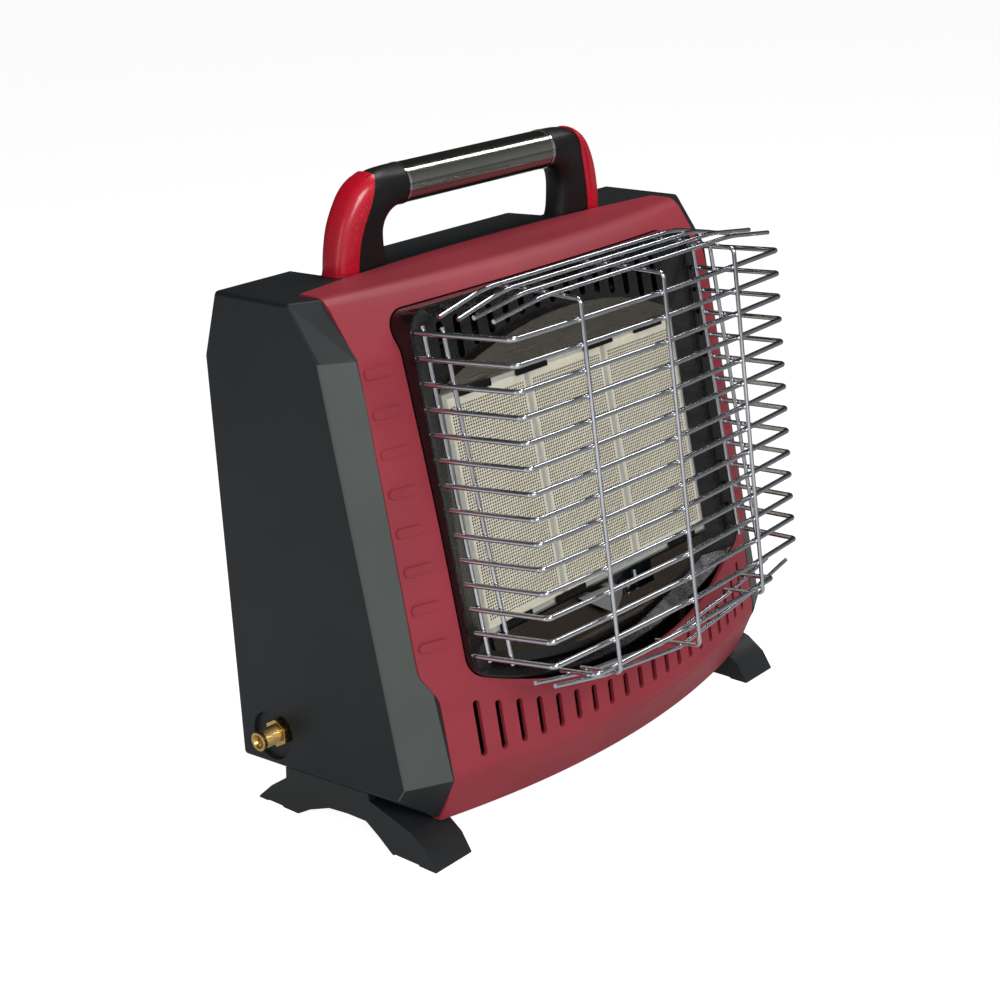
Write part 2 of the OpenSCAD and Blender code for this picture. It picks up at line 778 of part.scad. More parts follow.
module plaque(x) placed() color([0.86, 0.82, 0.7]) leaned() translate([x, 0, 0]) {
    w = plaque_w;
    upright_prism(plaque_y + 1.2, plaque_y + plaque_t + 1) square([w - 0.2, plaque_h - 0.2], center = true);
    upright_prism(plaque_y, plaque_y + 1.3) square([w - 1.2, plaque_h - 1.2], center = true);
}

module plaque_gasket() placed() color([0.72, 0.72, 0.7]) leaned() difference() {
    upright_prism(plaque_y + 0.8, plaque_y + plaque_t + 1) square([box_w - 0.2, box_h - 0.2], center = true);
    for (i = [-1 : 1]) upright_prism(0, 40) translate([i * (plaque_w + joint_w), 0]) square([plaque_w, plaque_h], center = true);
}

module plaque_clips() placed() color([0.12, 0.12, 0.12]) leaned()
    for (e = [-1, 1]) for (x = [-78, -30, 30, 78]) if (e > 0 || abs(x - pilot_x) > 22) {
        upright_prism(plaque_y - 1.1, plaque_y - 0.1) translate([x, e * (plaque_h / 2 + 1.2)]) square([27, 4.4], center = true);
        upright_prism(plaque_y - 1.6, plaque_y - 1) translate([x, e * (plaque_h / 2 + 2.2)]) square([21, 1.4], center = true);
    }

module heat_shield() placed() color([0.62, 0.62, 0.6]) leaned() {
    y0 = box_back + 0.15;
    difference() {
        union() {
            upright_prism(y0, y0 + sheet_t) translate([-116, -plaque_h / 2 - 6]) square([232, plaque_h + 32]);
            upright_prism(y0 - 14, y0 + sheet_t) translate([-116, plaque_h / 2 + 25]) square([232, sheet_t]);
        }
        translate([0, 0, mixer_v]) rod_y(0, 80, mixer_d / 2 + 1);
    }
}

// ---------- gas ----------

module mixer_tube() placed() color([0.66, 0.66, 0.66]) {
    r = mixer_d / 2;
    difference() {
        union() {
            wire(mixer_path, r, 17);
            translate([mixer_x - 8, mixer_path[0][1], mixer_path[0][2]]) rotate([0, 90, 0]) cylinder(h = 8, r1 = r, r2 = r + 3);
        }
        wire(mixer_path, r - 1.2, 17);
        translate([mixer_x - 8, mixer_path[0][1], mixer_path[0][2]]) rotate([0, 90, 0]) cylinder(h = 9, r1 = r - 1.2, r2 = r + 2);
    }
    // bracket that carries the injector
    for (s = [-1, 1]) translate([mixer_x - 0.5, mixer_path[0][1] - 4, mixer_path[0][2] + s * (r + 2.2) - 0.7]) cube([12, 8, 1.4]);
    translate([mixer_x + 10, mixer_path[0][1], mixer_path[0][2]]) difference() {
        rod_x(0, 1.5, r + 2.9);
        rod_x(-1, 3, 4 + seat_gap);
    }
}

module injector() placed() color([0.78, 0.62, 0.25]) translate([0, mixer_path[0][1], mixer_path[0][2]]) difference() {
    union() {
        rod_x(mixer_x + 1, mixer_x + 22, 4);
        hex_x(mixer_x + 11.6, mixer_x + 17, 12);
        translate([mixer_x - 3, 0, 0]) rotate([0, 90, 0]) cylinder(h = 4, r1 = 2.4, r2 = 4);
    }
    rod_x(mixer_x + 2, mixer_x + 30, 2);
    rod_x(mixer_x - 4, mixer_x + 3, 0.5);
}

module burner_pipe() placed() color([0.72, 0.45, 0.3])
    wire([
        [valve_x + 10, mixer_path[0][1], knob_z - 17.1],
        [valve_x + 10, mixer_path[0][1], mixer_path[0][2]],
        [mixer_x + 22.1, mixer_path[0][1], mixer_path[0][2]]
    ], pipe_d / 2, 9);

module supply_pipe() placed() color([0.72, 0.45, 0.3])
    wire([
        [-half_w + 20.1, inlet_y, inlet_z],
        [valve_x - 13, inlet_y, inlet_z],
        [valve_x - 13, knob_y + 8, inlet_z + 26],
        [valve_x - 13, knob_y + 8, knob_z],
        [valve_x - 0.1, knob_y + 8, knob_z]
    ], pipe_d / 2, 8);

module inlet_fitting() placed() color([0.78, 0.6, 0.25]) translate([0, inlet_y, inlet_z]) difference() {
    tip = -half_w - side_reach;
    union() {
        hex_x(-half_w + inlet_recess_d - 0.1, -half_w + inlet_recess_d - 6, inlet_af);
        rod_x(tip + 2.5, -half_w + 1, inlet_d / 2 - 0.4);
        rod_x(tip, tip + 2.6, inlet_d / 2);
        rod_x(-half_w + 1, -half_w + 20, inlet_d / 2 - 1);
    }
    rod_x(tip - 1, -half_w + 21, 2.2);
    translate([tip - 0.01, 0, 0]) rotate([0, 90, 0]) cylinder(h = 3, r1 = 4.2, r2 = 2.2);
}

module inlet_nut() placed() color([0.75, 0.6, 0.3]) translate([0, inlet_y, inlet_z]) difference() {
    hex_x(-half_w + inlet_recess_d + shell_t + 0.1, -half_w + inlet_recess_d + shell_t + 5.1, inlet_af + 1);
    rod_x(-half_w, -half_w + 20, inlet_d / 2 - 1 + 0.1);
}

module valve_body() placed() color([0.72, 0.66, 0.5]) difference() {
    union() {
        translate([valve_x, knob_y - 13, knob_z - 17]) cube([valve_w, 26, 34]);
        translate([0, knob_y - 6, knob_z]) rod_x(valve_x - 6, valve_x + 1, 6);
    }
    translate([0, knob_y, knob_z]) rod_x(valve_x + 8, valve_x + valve_w + 1, stem_d / 2 + run_gap);
}

module valve_bonnet() placed() color([0.75, 0.7, 0.55]) translate([0, knob_y, knob_z]) difference() {
    union() {
        rod_x(valve_x + valve_w + 0.1, half_w - well_d - shell_t - 0.1, 13);
        rod_x(half_w - well_d - shell_t - 0.2, half_w - well_d - 0.2, stem_d / 2 + 3);
    }
    rod_x(valve_x + valve_w - 1, half_w - well_d - shell_t - 1.5, collar_r + run_gap);
    rod_x(valve_x, half_w, stem_d / 2 + run_gap);
}

module stem_collar() placed() color([0.8, 0.75, 0.6]) translate([0, knob_y, knob_z]) difference() {
    rod_x(collar_x - 3, collar_x, collar_r);
    rod_x(collar_x - 4, collar_x + 1, stem_d / 2 + run_gap);
}

module valve_stem() placed() color([0.8, 0.8, 0.8]) translate([0, knob_y, knob_z]) {
    difference() {
        rod_x(valve_x + 14, half_w + 14, stem_d / 2);
        // groove of the snap ring and flat for the knob
        translate([half_w + 4, -stem_d, stem_d / 2 - 1]) cube([12, 2 * stem_d, stem_d]);
    }
    for (x = [collar_x - 4.1, collar_x + 0.1]) rod_x(x, x + 1, collar_r - 1.5);
}

module control_knob() placed() color([0.08, 0.08, 0.09]) translate([0, knob_y, knob_z]) {
    x0 = half_w - well_d + knob_push + 0.8;
    x1 = half_w + side_reach;
    difference() {
        union() {
            rod_x(x0, x0 + 4, knob_d / 2);
            translate([x0 + 3.9, 0, 0]) rotate([0, 90, 0]) cylinder(h = x1 - x0 - 5.9, r1 = knob_d / 2 - 1.5, r2 = knob_d / 2 - 3);
            translate([x1 - 2.1, 0, 0]) rotate([0, 90, 0]) cylinder(h = 2.1, r1 = knob_d / 2 - 3, r2 = knob_d / 2 - 5);
        }
        // finger scallops round the grip
        for (a = [0 : 30 : 330]) rotate([a, 0, 0]) translate([0, knob_d / 2 + 2.2, 0]) rod_x(x0 + 4.5, x1 + 1, 5.2);
        // pointer groove, hollow back and hub bore
        translate([x1 - 1, -1, 4]) cube([2, 2, knob_d / 2]);
        difference() {
            rod_x(x0 - 1, x1 - 3, knob_d / 2 - 6.5);
            rod_x(x0 - 2, x1, stem_d / 2 + 2.5);
        }
        difference() {
            rod_x(x0 - 1, half_w + 14.2, stem_d / 2 + 0.03);
            translate([half_w + 4.1, -stem_d, stem_d / 2 - 0.95]) cube([12, 2 * stem_d, stem_d]);
        }
    }
}

module igniter_body() placed() color([0.1, 0.1, 0.11]) translate([0, knob_y, button_z]) difference() {
    union() {
        rod_x(valve_x + 7, half_w + 1, button_d / 2 + 2);
        rod_x(half_w + 0.1, half_w + 2.4, button_d / 2 + 4.5);
    }
    rod_x(half_w - 24, half_w + 5, button_d / 2 + run_gap);
}

module igniter_nut() placed() color([0.2, 0.2, 0.2]) translate([0, knob_y, button_z]) difference() {
    hex_x(half_w - shell_t - 4.1, half_w - shell_t - 0.1, button_d + 10);
    rod_x(half_w - 20, half_w, button_d / 2 + 2.05);
}

module igniter_button() placed() color([0.55, 0.12, 0.14]) translate([0, knob_y, button_z]) {
    x1 = half_w + 2.4 + button_push + 1.6;
    rod_x(half_w - 18, x1 - 1, button_d / 2);
    translate([x1 - 1.01, 0, 0]) rotate([0, 90, 0]) cylinder(h = 1, r1 = button_d / 2, r2 = button_d / 2 - 1.2);
}

module ignition_lead() placed() color([0.8, 0.78, 0.72])
    wire([
        leaned_point([pilot_x - 14, pilot_y, -plaque_h / 2 - 31.1]),
        leaned_point([pilot_x - 14, pilot_y + 1, -plaque_h / 2 - 39]),
        [pilot_x - 14, -98, base_z + 42],
        [valve_x - 8, knob_y - 4, base_z + 42],
        [valve_x - 8, knob_y, button_z],
        [valve_x + 6.9, knob_y, button_z]
    ], 1.3, 6);

module pilot_bracket() placed() color([0.45, 0.52, 0.56]) leaned() {
    top = -plaque_h / 2 - 7;
    difference() {
        translate([pilot_x - 22.5, dish_y + 2 * sheet_t + 0.3, top - 24]) cube([45, 10, 25]);
        translate([pilot_x - 21.5, dish_y, top - 22.8]) cube([43, 10 + 2 * sheet_t - 0.8, 30]);
        for (x = [-14, 0, 9]) translate([pilot_x + x, pilot_y, top - 30]) cylinder(h = 20, r = x < 0 ? 3.2 : (x > 0 ? 1.7 : 2.7));
    }
    for (s = [-1, 1]) translate([pilot_x + s * 25 - 3.5, dish_y + 2 * sheet_t + 0.2, top - 24]) cube([7, 1, 25]);
}

// sheet folded forward along a ridge beside the pilot, tapering downwards
module pilot_shield() placed() color([0.5, 0.5, 0.48]) leaned() {
    top = -plaque_h / 2 - 5.4;
    intersection() {
        upright_prism(0, 8) polygon([[-27, top], [2, top], [13, top - 7], [11, top - 10], [0, top - 17], [-2, top - 17]]);
        translate([0, 0, top - 20]) linear_extrude(30)
            polygon([[-28, 5.2], [0, 1.4], [14, 5.2], [14, 6.2], [0, 2.4], [-28, 6.2]]);
    }
    upright_prism(2, 8.1) translate([-3, top - 1]) square([5, 1]);
    upright_prism(5, 8.1) translate([-24, top - 1]) square([8, 1]);
}

module pilot_burner() placed() color([0.7, 0.7, 0.7]) leaned() translate([pilot_x, pilot_y, -plaque_h / 2 - 31]) difference() {
    union() {
        cylinder(h = 10, r = 2.6);
        translate([0, 0, 1.3]) cylinder(h = 2, r = 4);
        translate([0, 0, 9]) cylinder(h = 9, r = 3.4);
    }
    translate([0, 0, 10]) cylinder(h = 10, r = 2.2);
    for (z = [12, 14.5]) translate([-5, 0, z]) rotate([0, 90, 0]) cylinder(h = 10, r = 0.7);
}

module pilot_pipe() placed() color([0.74, 0.68, 0.5])
    wire([
        [valve_x + 4, knob_y - 10, knob_z - 17.1],
        [valve_x + 4, knob_y - 10, base_z + 54],
        [pilot_x, knob_y - 10, base_z + 54],
        leaned_point([pilot_x, pilot_y, -plaque_h / 2 - 40]),
        leaned_point([pilot_x, pilot_y, -plaque_h / 2 - 31.1])
    ], 1.6, 6);

module spark_electrode() placed() color([0.9, 0.88, 0.84]) leaned() translate([pilot_x - 14, pilot_y, -plaque_h / 2 - 31]) {
    cylinder(h = 16, r = 3.1);
    translate([0, 0, 15.9]) cylinder(h = 6, r = 0.9);
}

module thermocouple() placed() color([0.74, 0.6, 0.45]) {
    wire([
        leaned_point([pilot_x + 9, pilot_y, -plaque_h / 2 - 10]),
        leaned_point([pilot_x + 9, pilot_y, -plaque_h / 2 - 36]),
        [pilot_x + 9, -100, base_z + 48],
        [valve_x + 16, -100, base_z + 48],
        [valve_x + 16, knob_y + 24, base_z + 48],
        [valve_x + 16, knob_y + 24, knob_z],
        [valve_x + 16, knob_y + 13.1, knob_z]
    ], 1, 6);
    leaned() translate([pilot_x + 9, pilot_y, -plaque_h / 2 - 31]) cylinder(h = 22, r = 1.6);
}

module tilt_switch() placed() color([0.15, 0.15, 0.16]) {
    z = case_floor_z(-52) + shell_t + 0.5;
    difference() {
        translate([-60, -78, z]) cube([34, 26, 20]);
        for (x = [-54, -32]) translate([x, -65, z - 1]) cylinder(h = 40, r = 1.6);
    }
}

// height of the case's underside in the middle for a depth y
function case_floor_z(y) = base_z + y * 9.2 / (body_d - 11);

// ---------- handle ----------

// solid between equal rings of points
module loft(rings) {
    n = len(rings[0]);
    polyhedron(
        points = [for (ring = rings) for (p = ring) p],
        faces = concat(
            [[for (i = [0 : n - 1]) i]],
            [for (k = [0 : len(rings) - 2]) for (i = [0 : n - 1])
                [k * n + i, (k + 1) * n + i, (k + 1) * n + (i + 1) % n, k * n + (i + 1) % n]],
            [[for (i = [n - 1 : -1 : 0]) (len(rings) - 1) * n + i]]
        ),
        convexity = 4
    );
}

// outer reach of the elbow for an angle above the horizontal
function elbow_reach(a) = elbow_in + 22.2 + 14.3 * pow(cos(a), 1.7);

// ring of the arm at elbow angle a, moved down by drop
function arm_ring(a, drop) =
    let (
        reach = elbow_reach(a),
        mid = (reach + elbow_in) / 2,
        rx = (reach - elbow_in) / 2,
        ry = arm_depth / 2 - (arm_depth / 2 - grip_d / 2 - 0.4) * min(1, a / 80),
        h = elbow_z + mid * sin(a) - drop,
        y = arm_y + (grip_y - arm_y) * min(1, max(0, (h - body_h) / (grip_z - 9 - body_h)))
    ) [
        for (k = [0 : 23])
            let (t = 360 * k / 24, u = mid + rx * cos(t))
            [elbow_x + u * cos(a), y + ry * sin(t), elbow_z + u * sin(a) - drop]
    ];

module arm_solid() {
    end = arm_ring(90, 0);
    loft(concat(
        [arm_ring(0, elbow_z - arm_floor - 0.1), arm_ring(0, elbow_z - body_h)],
        [for (a = [0 : 11.25 : 90]) arm_ring(a, 0)],
        [[for (p = end) [grip_len / 2 + ring_w + 0.1, p[1], p[2]]]]
    ));
}

// front view of the seam between arm and cap, with a gap of g on the cap's side
module cap_outline(g) {
    polygon([
        [elbow_x + 40 + g, arm_floor - 5],
        [elbow_x + 40 + g, body_h],
        [elbow_x + 34.5 + g, elbow_z + 3],
        [elbow_x + 29 + g, elbow_z + 15 + g / 2],
        [elbow_x + 21 + g, elbow_z + 29 + g],
        [elbow_x + 20.4 + g, elbow_z + 60],
        [elbow_x + 90, elbow_z + 60],
        [elbow_x + 90, arm_floor - 5]
    ]);
}

module arm_side(s) {
    if (s > 0) children();
    else mirror([1, 0, 0]) children();
}

module handle_arm(s) placed() color([0.07, 0.07, 0.08]) arm_side(s) difference() {
    arm_solid();
    upright_prism(-100, 0) cap_outline(0);
    translate([0, grip_y, grip_z]) rod_x(0, core_x + seat_gap, core_d / 2 + seat_gap);
    translate([arm_screw_x, arm_y, arm_floor - 1]) cylinder(h = 22, r = 2);
}

module handle_cap(s) placed() color([0.72, 0.08, 0.15]) arm_side(s) intersection() {
    arm_solid();
    upright_prism(-100, 0) cap_outline(seat_gap);
}

module handle_sleeve() placed() color([0.75, 0.76, 0.78]) translate([0, grip_y, grip_z]) difference() {
    rod_x(-grip_len / 2, grip_len / 2, grip_d / 2);
    rod_x(-grip_len, grip_len, grip_d / 2 - grip_t);
}

module handle_core() placed() color([0.15, 0.15, 0.16]) translate([0, grip_y, grip_z])
    rod_x(-core_x, core_x, core_d / 2);

module handle_rings() placed() color([0.8, 0.8, 0.82]) translate([0, grip_y, grip_z])
    for (s = [-1, 1]) difference() {
        rod_x(s * (grip_len / 2 + 0.05), s * (grip_len / 2 + ring_w), grip_d / 2 + 0.4);
        rod_x(s * (grip_len / 2 - 1), s * (grip_len / 2 + 5), core_d / 2 + seat_gap);
    }

module handle_screws() placed() color([0.7, 0.7, 0.72])
    for (s = [-1, 1]) translate([s * arm_screw_x, arm_y, arm_floor - shell_t - 0.1])
        rotate([180, 0, 0]) pan_screw(3.8, 18);

// ---------- feet ----------

// side outline (y, z) of a foot
foot_outline = [
    [-foot_rear, 0], [-foot_rear, 1], [-16, 11.8], [-29.5, 21], [-30, 26], [-30, base_z + 14],
    [-97, base_z + 14], [-98.7, base_z - 1.4], [-114.5, base_z - 6], [-130, base_z - 10.7],
    [-141.4, 11.4], [-foot_front, 1], [-foot_front, 0], [-135.6, 0], [-134.6, 0.8],
    [-116.6, 0.8], [-115.8, 0], [-114.6, 0], [-104, arch_h * 0.6], [-94.8, arch_h + 0.6],
    [-80, arch_h + 0.4], [-64.9, arch_h - 1.2], [-48.4, arch_h * 0.45], [-37.5, 0],
    [-24.8, 0], [-24.2, 0.8], [-12, 0.8], [-11.4, 0]
];

module foot(s) placed() color([0.1, 0.1, 0.11]) difference() {
    translate([s > 0 ? foot_x - foot_w : -foot_x, 0, 0]) rotate([90, 0, 90]) linear_extrude(foot_w) polygon(foot_outline);
    case_block(-seat_gap, corner_r);
    // room for the floor of the bezel
    translate([-bezel_low_x - seat_gap, -2 * body_d, bezel_floor_z - seat_gap])
        cube([2 * (bezel_low_x + seat_gap), 2 * body_d + front_y(fold_low) + bottom_return + seat_gap, base_z]);
    // holes of the screws
    for (y = screw_rows) translate([s * (foot_x - foot_w / 2), y, arch_h]) cylinder(h = 40, r = 1.9);
}

module foot_screws() placed() color([0.7, 0.7, 0.72])
    for (s = [-1, 1]) for (y = screw_rows)
        translate([s * (foot_x - foot_w / 2), y, base_z + 6.1]) pan_screw(3.6, 14);

// ---------- guard ----------

// height of crossbar i
function bar_z(i) = bar_top_z - i * bar_pitch;
// depth of the crossbars for a height z
function bar_y(z) = -guard_reach + (z - bar_top_z) * tan(bar_lean);
// how far a crossbar at height z bows forward at a distance x from the middle
function bar_bow(x, z) = (guard_bow_low + (guard_bow - guard_bow_low) * (z - bar_z(bar_count - 1)) / (bar_top_z - bar_z(bar_count - 1)))
    * (1 - pow(abs(x) / bend_x, 1.5));
// bend of crossbar i on side s
function bar_bend(s, i) = [s * (bend_x - bar_taper * i / (bar_count - 1)), bar_y(bar_z(i)), bar_z(i)];
// where the leg of crossbar i meets the window frame on side s
function bar_root(s, i) =
    let (z = bar_z(i) - leg_rise) [s * leg_x, rim_y + (z - win_z) * tan(rim_lean) + leg_in, z];
// point at part t of the leg of crossbar i
function leg_point(s, i, t) = bar_root(s, i) * (1 - t) + bar_bend(s, i) * t;
// part of the leg at which side upright k crosses it
function cross_at(k, i) =
    side_uprights[k][0] + (side_uprights[k][1] - side_uprights[k][0]) * i / (bar_count - 1);
// the top and bottom crossbars reach the window frame, the others end behind the side upright
function leg_start(i) = (i == 0 || i == bar_count - 1) ? 0 : cross_at(0, i) - tail;

// bore of radius r for the root of a leg, run through by more
module guard_leg(s, i, r, more) {
    a = bar_bend(s, i);
    b = bar_root(s, i);
    dir = unit(b - a);
    side = side_of(dir);
    multmatrix(placement(side, cross(dir, side), dir, a)) cylinder(h = norm(b - a) + more, r = r, $fn = 24);
}

// points of the bowed front of crossbar i
function bowed_front(i) = [
    for (x = [-upright_x, 0, upright_x]) [x, bar_y(bar_z(i)) - bar_bow(x, bar_z(i)), bar_z(i)]
];

module crossbar(i) {
    r = wire_bend + wire_d / 2;
    wire(concat(
        [leg_point(-1, i, leg_start(i)), bar_bend(-1, i)],
        bowed_front(i),
        [bar_bend(1, i), leg_point(1, i, leg_start(i))]
    ), wire_d / 2, [0, r, bow_r, bow_r, bow_r, r, 0]);
}

module guard_crossbars() placed() color([0.8, 0.8, 0.82]) for (i = [1 : bar_count - 2]) crossbar(i);

module guard_end_bars() placed() color([0.8, 0.8, 0.82]) for (i = [0, bar_count - 1]) crossbar(i);

// lowest bar in front, with its legs resting on the bottom bars
module guard_low_bar() placed() color([0.8, 0.8, 0.82]) {
    z = upright_low_z + 3.6;
    y = bar_y(z) - bar_bow(low_bar_half, z);
    r = wire_bend + wire_d / 2;
    wire([
        [-low_bar_half, y + 25, z - 25 * low_slope],
        [-low_bar_half, y, z],
        [-upright_x, bar_y(z) - bar_bow(upright_x, z), z],
        [0, bar_y(z) - bar_bow(0, z), z],
        [upright_x, bar_y(z) - bar_bow(upright_x, z), z],
        [low_bar_half, y, z],
        [low_bar_half, y + 25, z - 25 * low_slope]
    ], wire_d / 2, [0, r, bow_r, bow_r, bow_r, r, 0]);
}

// height of a front upright's lower bend for its distance x from the middle
function upright_low(x) = upright_low_z - upright_low_drop * (1 - abs(x) / upright_x);
// depth of the front upright at a distance x for a height z
function upright_y(z, x) = bar_y(z) - bar_bow(x, z) - weld;
// height of the front uprights' lower legs for a distance x and a depth y
function low_leg_z(x, y) = upright_low(x) - low_slope * (y - upright_y(upright_low(x), x));
// height of the middle one's upper leg for a depth y
function top_leg_z(y) = lookup(y, [
    [upright_y(top_leg[2], 0), top_leg[2]],
    top_leg[1],
    top_leg[0]
]);

module guard_front_uprights() placed() color([0.8, 0.8, 0.82])
    for (x = [-upright_x, 0, upright_x]) {
        y_end = upright_y(upright_low_z, upright_x) + 28;
        r = wire_bend + upright_d / 2;
        wire([
            [x, top_leg[0][0], top_leg[0][1]],
            [x, top_leg[1][0], top_leg[1][1]],
            [x, upright_y(top_leg[2], x), top_leg[2]],
            [x, upright_y(upright_low(x), x), upright_low(x)],
            [x, y_end, low_leg_z(x, y_end)]
        ], upright_d / 2, [0, top_leg_r, r, r, 0]);
    }

module guard_side_uprights() placed() color([0.8, 0.8, 0.82])
    for (s = [-1, 1]) for (t = side_uprights)
        wire([
            leg_point(s, -0.25, t[0] - 0.002) - [s * weld, 0, 0],
            leg_point(s, bar_count - 0.75, t[1] + 0.002) - [s * weld, 0, 0]
        ], upright_d / 2, 5);

module guard_top_bars() placed() color([0.8, 0.8, 0.82])
    for (k = [0 : top_bar_n - 1]) {
        y = top_leg[0][0] - 3.3 - k * top_bar_pitch;
        z = top_leg_z(y) + upright_d + 0.15;
        half = top_bar_half + (k < 2 ? 0 : 2.5);
        drop = top_bar_drop - (k < 2 ? 0 : 3);
        wire([
            [-half, y, z - drop], [-top_bar_bend, y, z],
            [top_bar_bend, y, z], [half, y, z - drop]
        ], upright_d / 2, 90);
    }

module guard_bottom_bars() placed() color([0.8, 0.8, 0.82])
    for (k = [0 : low_bar_n - 1]) {
        y = upright_y(upright_low_z, upright_x) + 11.5 + k * low_bar_pitch;
        z = low_leg_z(upright_x, y) - upright_d - 0.15;
        wire([
            [-low_bar_end, y, z + 9.4], [-upright_x, y, z],
            [0, y, low_leg_z(0, y) - upright_d - 0.15],
            [upright_x, y, z], [low_bar_end, y, z + 9.4]
        ], upright_d / 2, 8);
    }

// ---------- left and right pieces ----------

module plaque_left() plaque(-plaque_w - joint_w);
module plaque_middle() plaque(0);
module plaque_right() plaque(plaque_w + joint_w);
module handle_arm_left() handle_arm(-1);
module handle_arm_right() handle_arm(1);
module handle_cap_left() handle_cap(-1);
module handle_cap_right() handle_cap(1);
module foot_left() foot(-1);
module foot_right() foot(1);

housing();
back_panel();
back_screws();
front_bezel();
bezel_screws();
window_frame();
upper_reflector();
lower_reflector();
burner_box();
box_screws();
plaque_left();
plaque_middle();
plaque_right();
plaque_gasket();
plaque_clips();
heat_shield();
mixer_tube();
injector();
burner_pipe();
supply_pipe();
inlet_fitting();
inlet_nut();
valve_body();
valve_bonnet();
stem_collar();
valve_stem();
control_knob();
igniter_body();
igniter_nut();
igniter_button();
ignition_lead();
pilot_bracket();
pilot_shield();
pilot_burner();
pilot_pipe();
spark_electrode();
thermocouple();
tilt_switch();
handle_arm_left();
handle_arm_right();
handle_cap_left();
handle_cap_right();
handle_sleeve();
handle_core();
handle_rings();
handle_screws();
foot_left();
foot_right();
foot_screws();
guard_crossbars();
guard_end_bars();
guard_low_bar();
guard_front_uprights();
guard_side_uprights();
guard_top_bars();
guard_bottom_bars();
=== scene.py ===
"""Looks of the portable propane heater: finishes, softened edges, perforated plaques, the inlet's
thread, welds and handle arms around the fixed CAD frame, with the camera and soft studio light."""
import math

import bmesh
import bpy
import numpy as np
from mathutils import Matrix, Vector
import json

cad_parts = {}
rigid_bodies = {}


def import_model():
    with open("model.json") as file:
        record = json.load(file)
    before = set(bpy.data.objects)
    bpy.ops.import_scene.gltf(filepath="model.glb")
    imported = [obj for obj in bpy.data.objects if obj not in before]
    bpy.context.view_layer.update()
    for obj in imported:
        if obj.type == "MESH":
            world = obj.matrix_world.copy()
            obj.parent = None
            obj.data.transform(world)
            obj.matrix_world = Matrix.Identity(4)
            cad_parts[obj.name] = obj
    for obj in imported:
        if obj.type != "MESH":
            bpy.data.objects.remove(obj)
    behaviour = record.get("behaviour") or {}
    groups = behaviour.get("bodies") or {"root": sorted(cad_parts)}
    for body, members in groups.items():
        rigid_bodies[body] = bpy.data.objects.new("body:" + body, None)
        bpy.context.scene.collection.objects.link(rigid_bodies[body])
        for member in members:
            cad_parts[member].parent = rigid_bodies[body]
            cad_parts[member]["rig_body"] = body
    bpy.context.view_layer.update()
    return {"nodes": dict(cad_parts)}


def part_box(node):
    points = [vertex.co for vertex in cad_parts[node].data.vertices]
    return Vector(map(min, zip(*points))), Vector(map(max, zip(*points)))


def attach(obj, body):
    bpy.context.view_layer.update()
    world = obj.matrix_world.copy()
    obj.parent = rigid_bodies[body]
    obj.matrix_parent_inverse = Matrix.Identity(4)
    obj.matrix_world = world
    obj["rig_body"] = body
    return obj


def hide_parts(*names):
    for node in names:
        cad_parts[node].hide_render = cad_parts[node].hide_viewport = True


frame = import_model()
NODES = frame["nodes"]
MM = 0.001
BODY = "heater"

# ---------- places that follow the CAD frame (mm) ----------
REAR_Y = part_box("housing")[1].y / MM                # rear panel, y = 0 in case coordinates
WINDOW_Z = 186.0                                    # height of the plaque centre
FRONT_Y, FRONT_Z = -142.0, 49.0                     # foot of the leaned front
FRONT_LEAN, MORE_LEAN = 9.8, 0.45                   # lean of the front, what the rim leans more, degrees
RIM_LEAN = math.radians(FRONT_LEAN + MORE_LEAN)
RIM_REACH = 15.6                                    # from the front out to the window frame's rim
RIM_Y = FRONT_Y + (WINDOW_Z - FRONT_Z) * math.tan(math.radians(FRONT_LEAN)) - RIM_REACH
PLAQUE_W, PLAQUE_H, PLAQUE_T = 64.6, 132.0, 13.0
PLAQUE_Y = 8.0                                      # from the rim back to the plaques
JOINT_W = 3.5                                       # between two plaques


def leaned(x, y, v):
    """A point of the leaned window frame (across, inwards, up) in metres."""
    return Vector((
        x,
        REAR_Y + RIM_Y + y * math.cos(RIM_LEAN) + v * math.sin(RIM_LEAN),
        WINDOW_Z - y * math.sin(RIM_LEAN) + v * math.cos(RIM_LEAN),
    )) * MM


# ---------- camera ----------
CAMERA_AT = (-806.1, REAR_Y - 789.2, 542.8)         # mm
CAMERA_TURN = (70.144, 2.446, -48.717)              # degrees, XYZ
LENS, SENSOR = 68.13, 36.0                          # mm
CLIP_NEAR, CLIP_FAR = 0.05, 30.0                    # m


def make_camera():
    """The photograph's own viewing angle."""
    data = bpy.data.cameras.new("camera")
    data.lens = LENS
    data.sensor_width = SENSOR
    data.clip_start = CLIP_NEAR
    data.clip_end = CLIP_FAR
    camera = bpy.data.objects.new("camera", data)
    camera.location = Vector(CAMERA_AT) * MM
    camera.rotation_euler = [math.radians(a) for a in CAMERA_TURN]
    bpy.context.scene.collection.objects.link(camera)
    bpy.context.scene.camera = camera


# ---------- materials ----------
FLOW_SIZE, SMEAR_SIZE = 0.06, 0.03                  # clouds in plastic and on metal, m
SPECK_SIZE = 0.0012                                 # specks in enamel


def srgb(r, g, b):
    """A colour given as 0 to 255 screen values, as linear light with alpha."""
    def linear(c):
        c /= 255.0
        return c / 12.92 if c <= 0.04045 else ((c + 0.055) / 1.055) ** 2.4
    return (linear(r), linear(g), linear(b), 1.0)


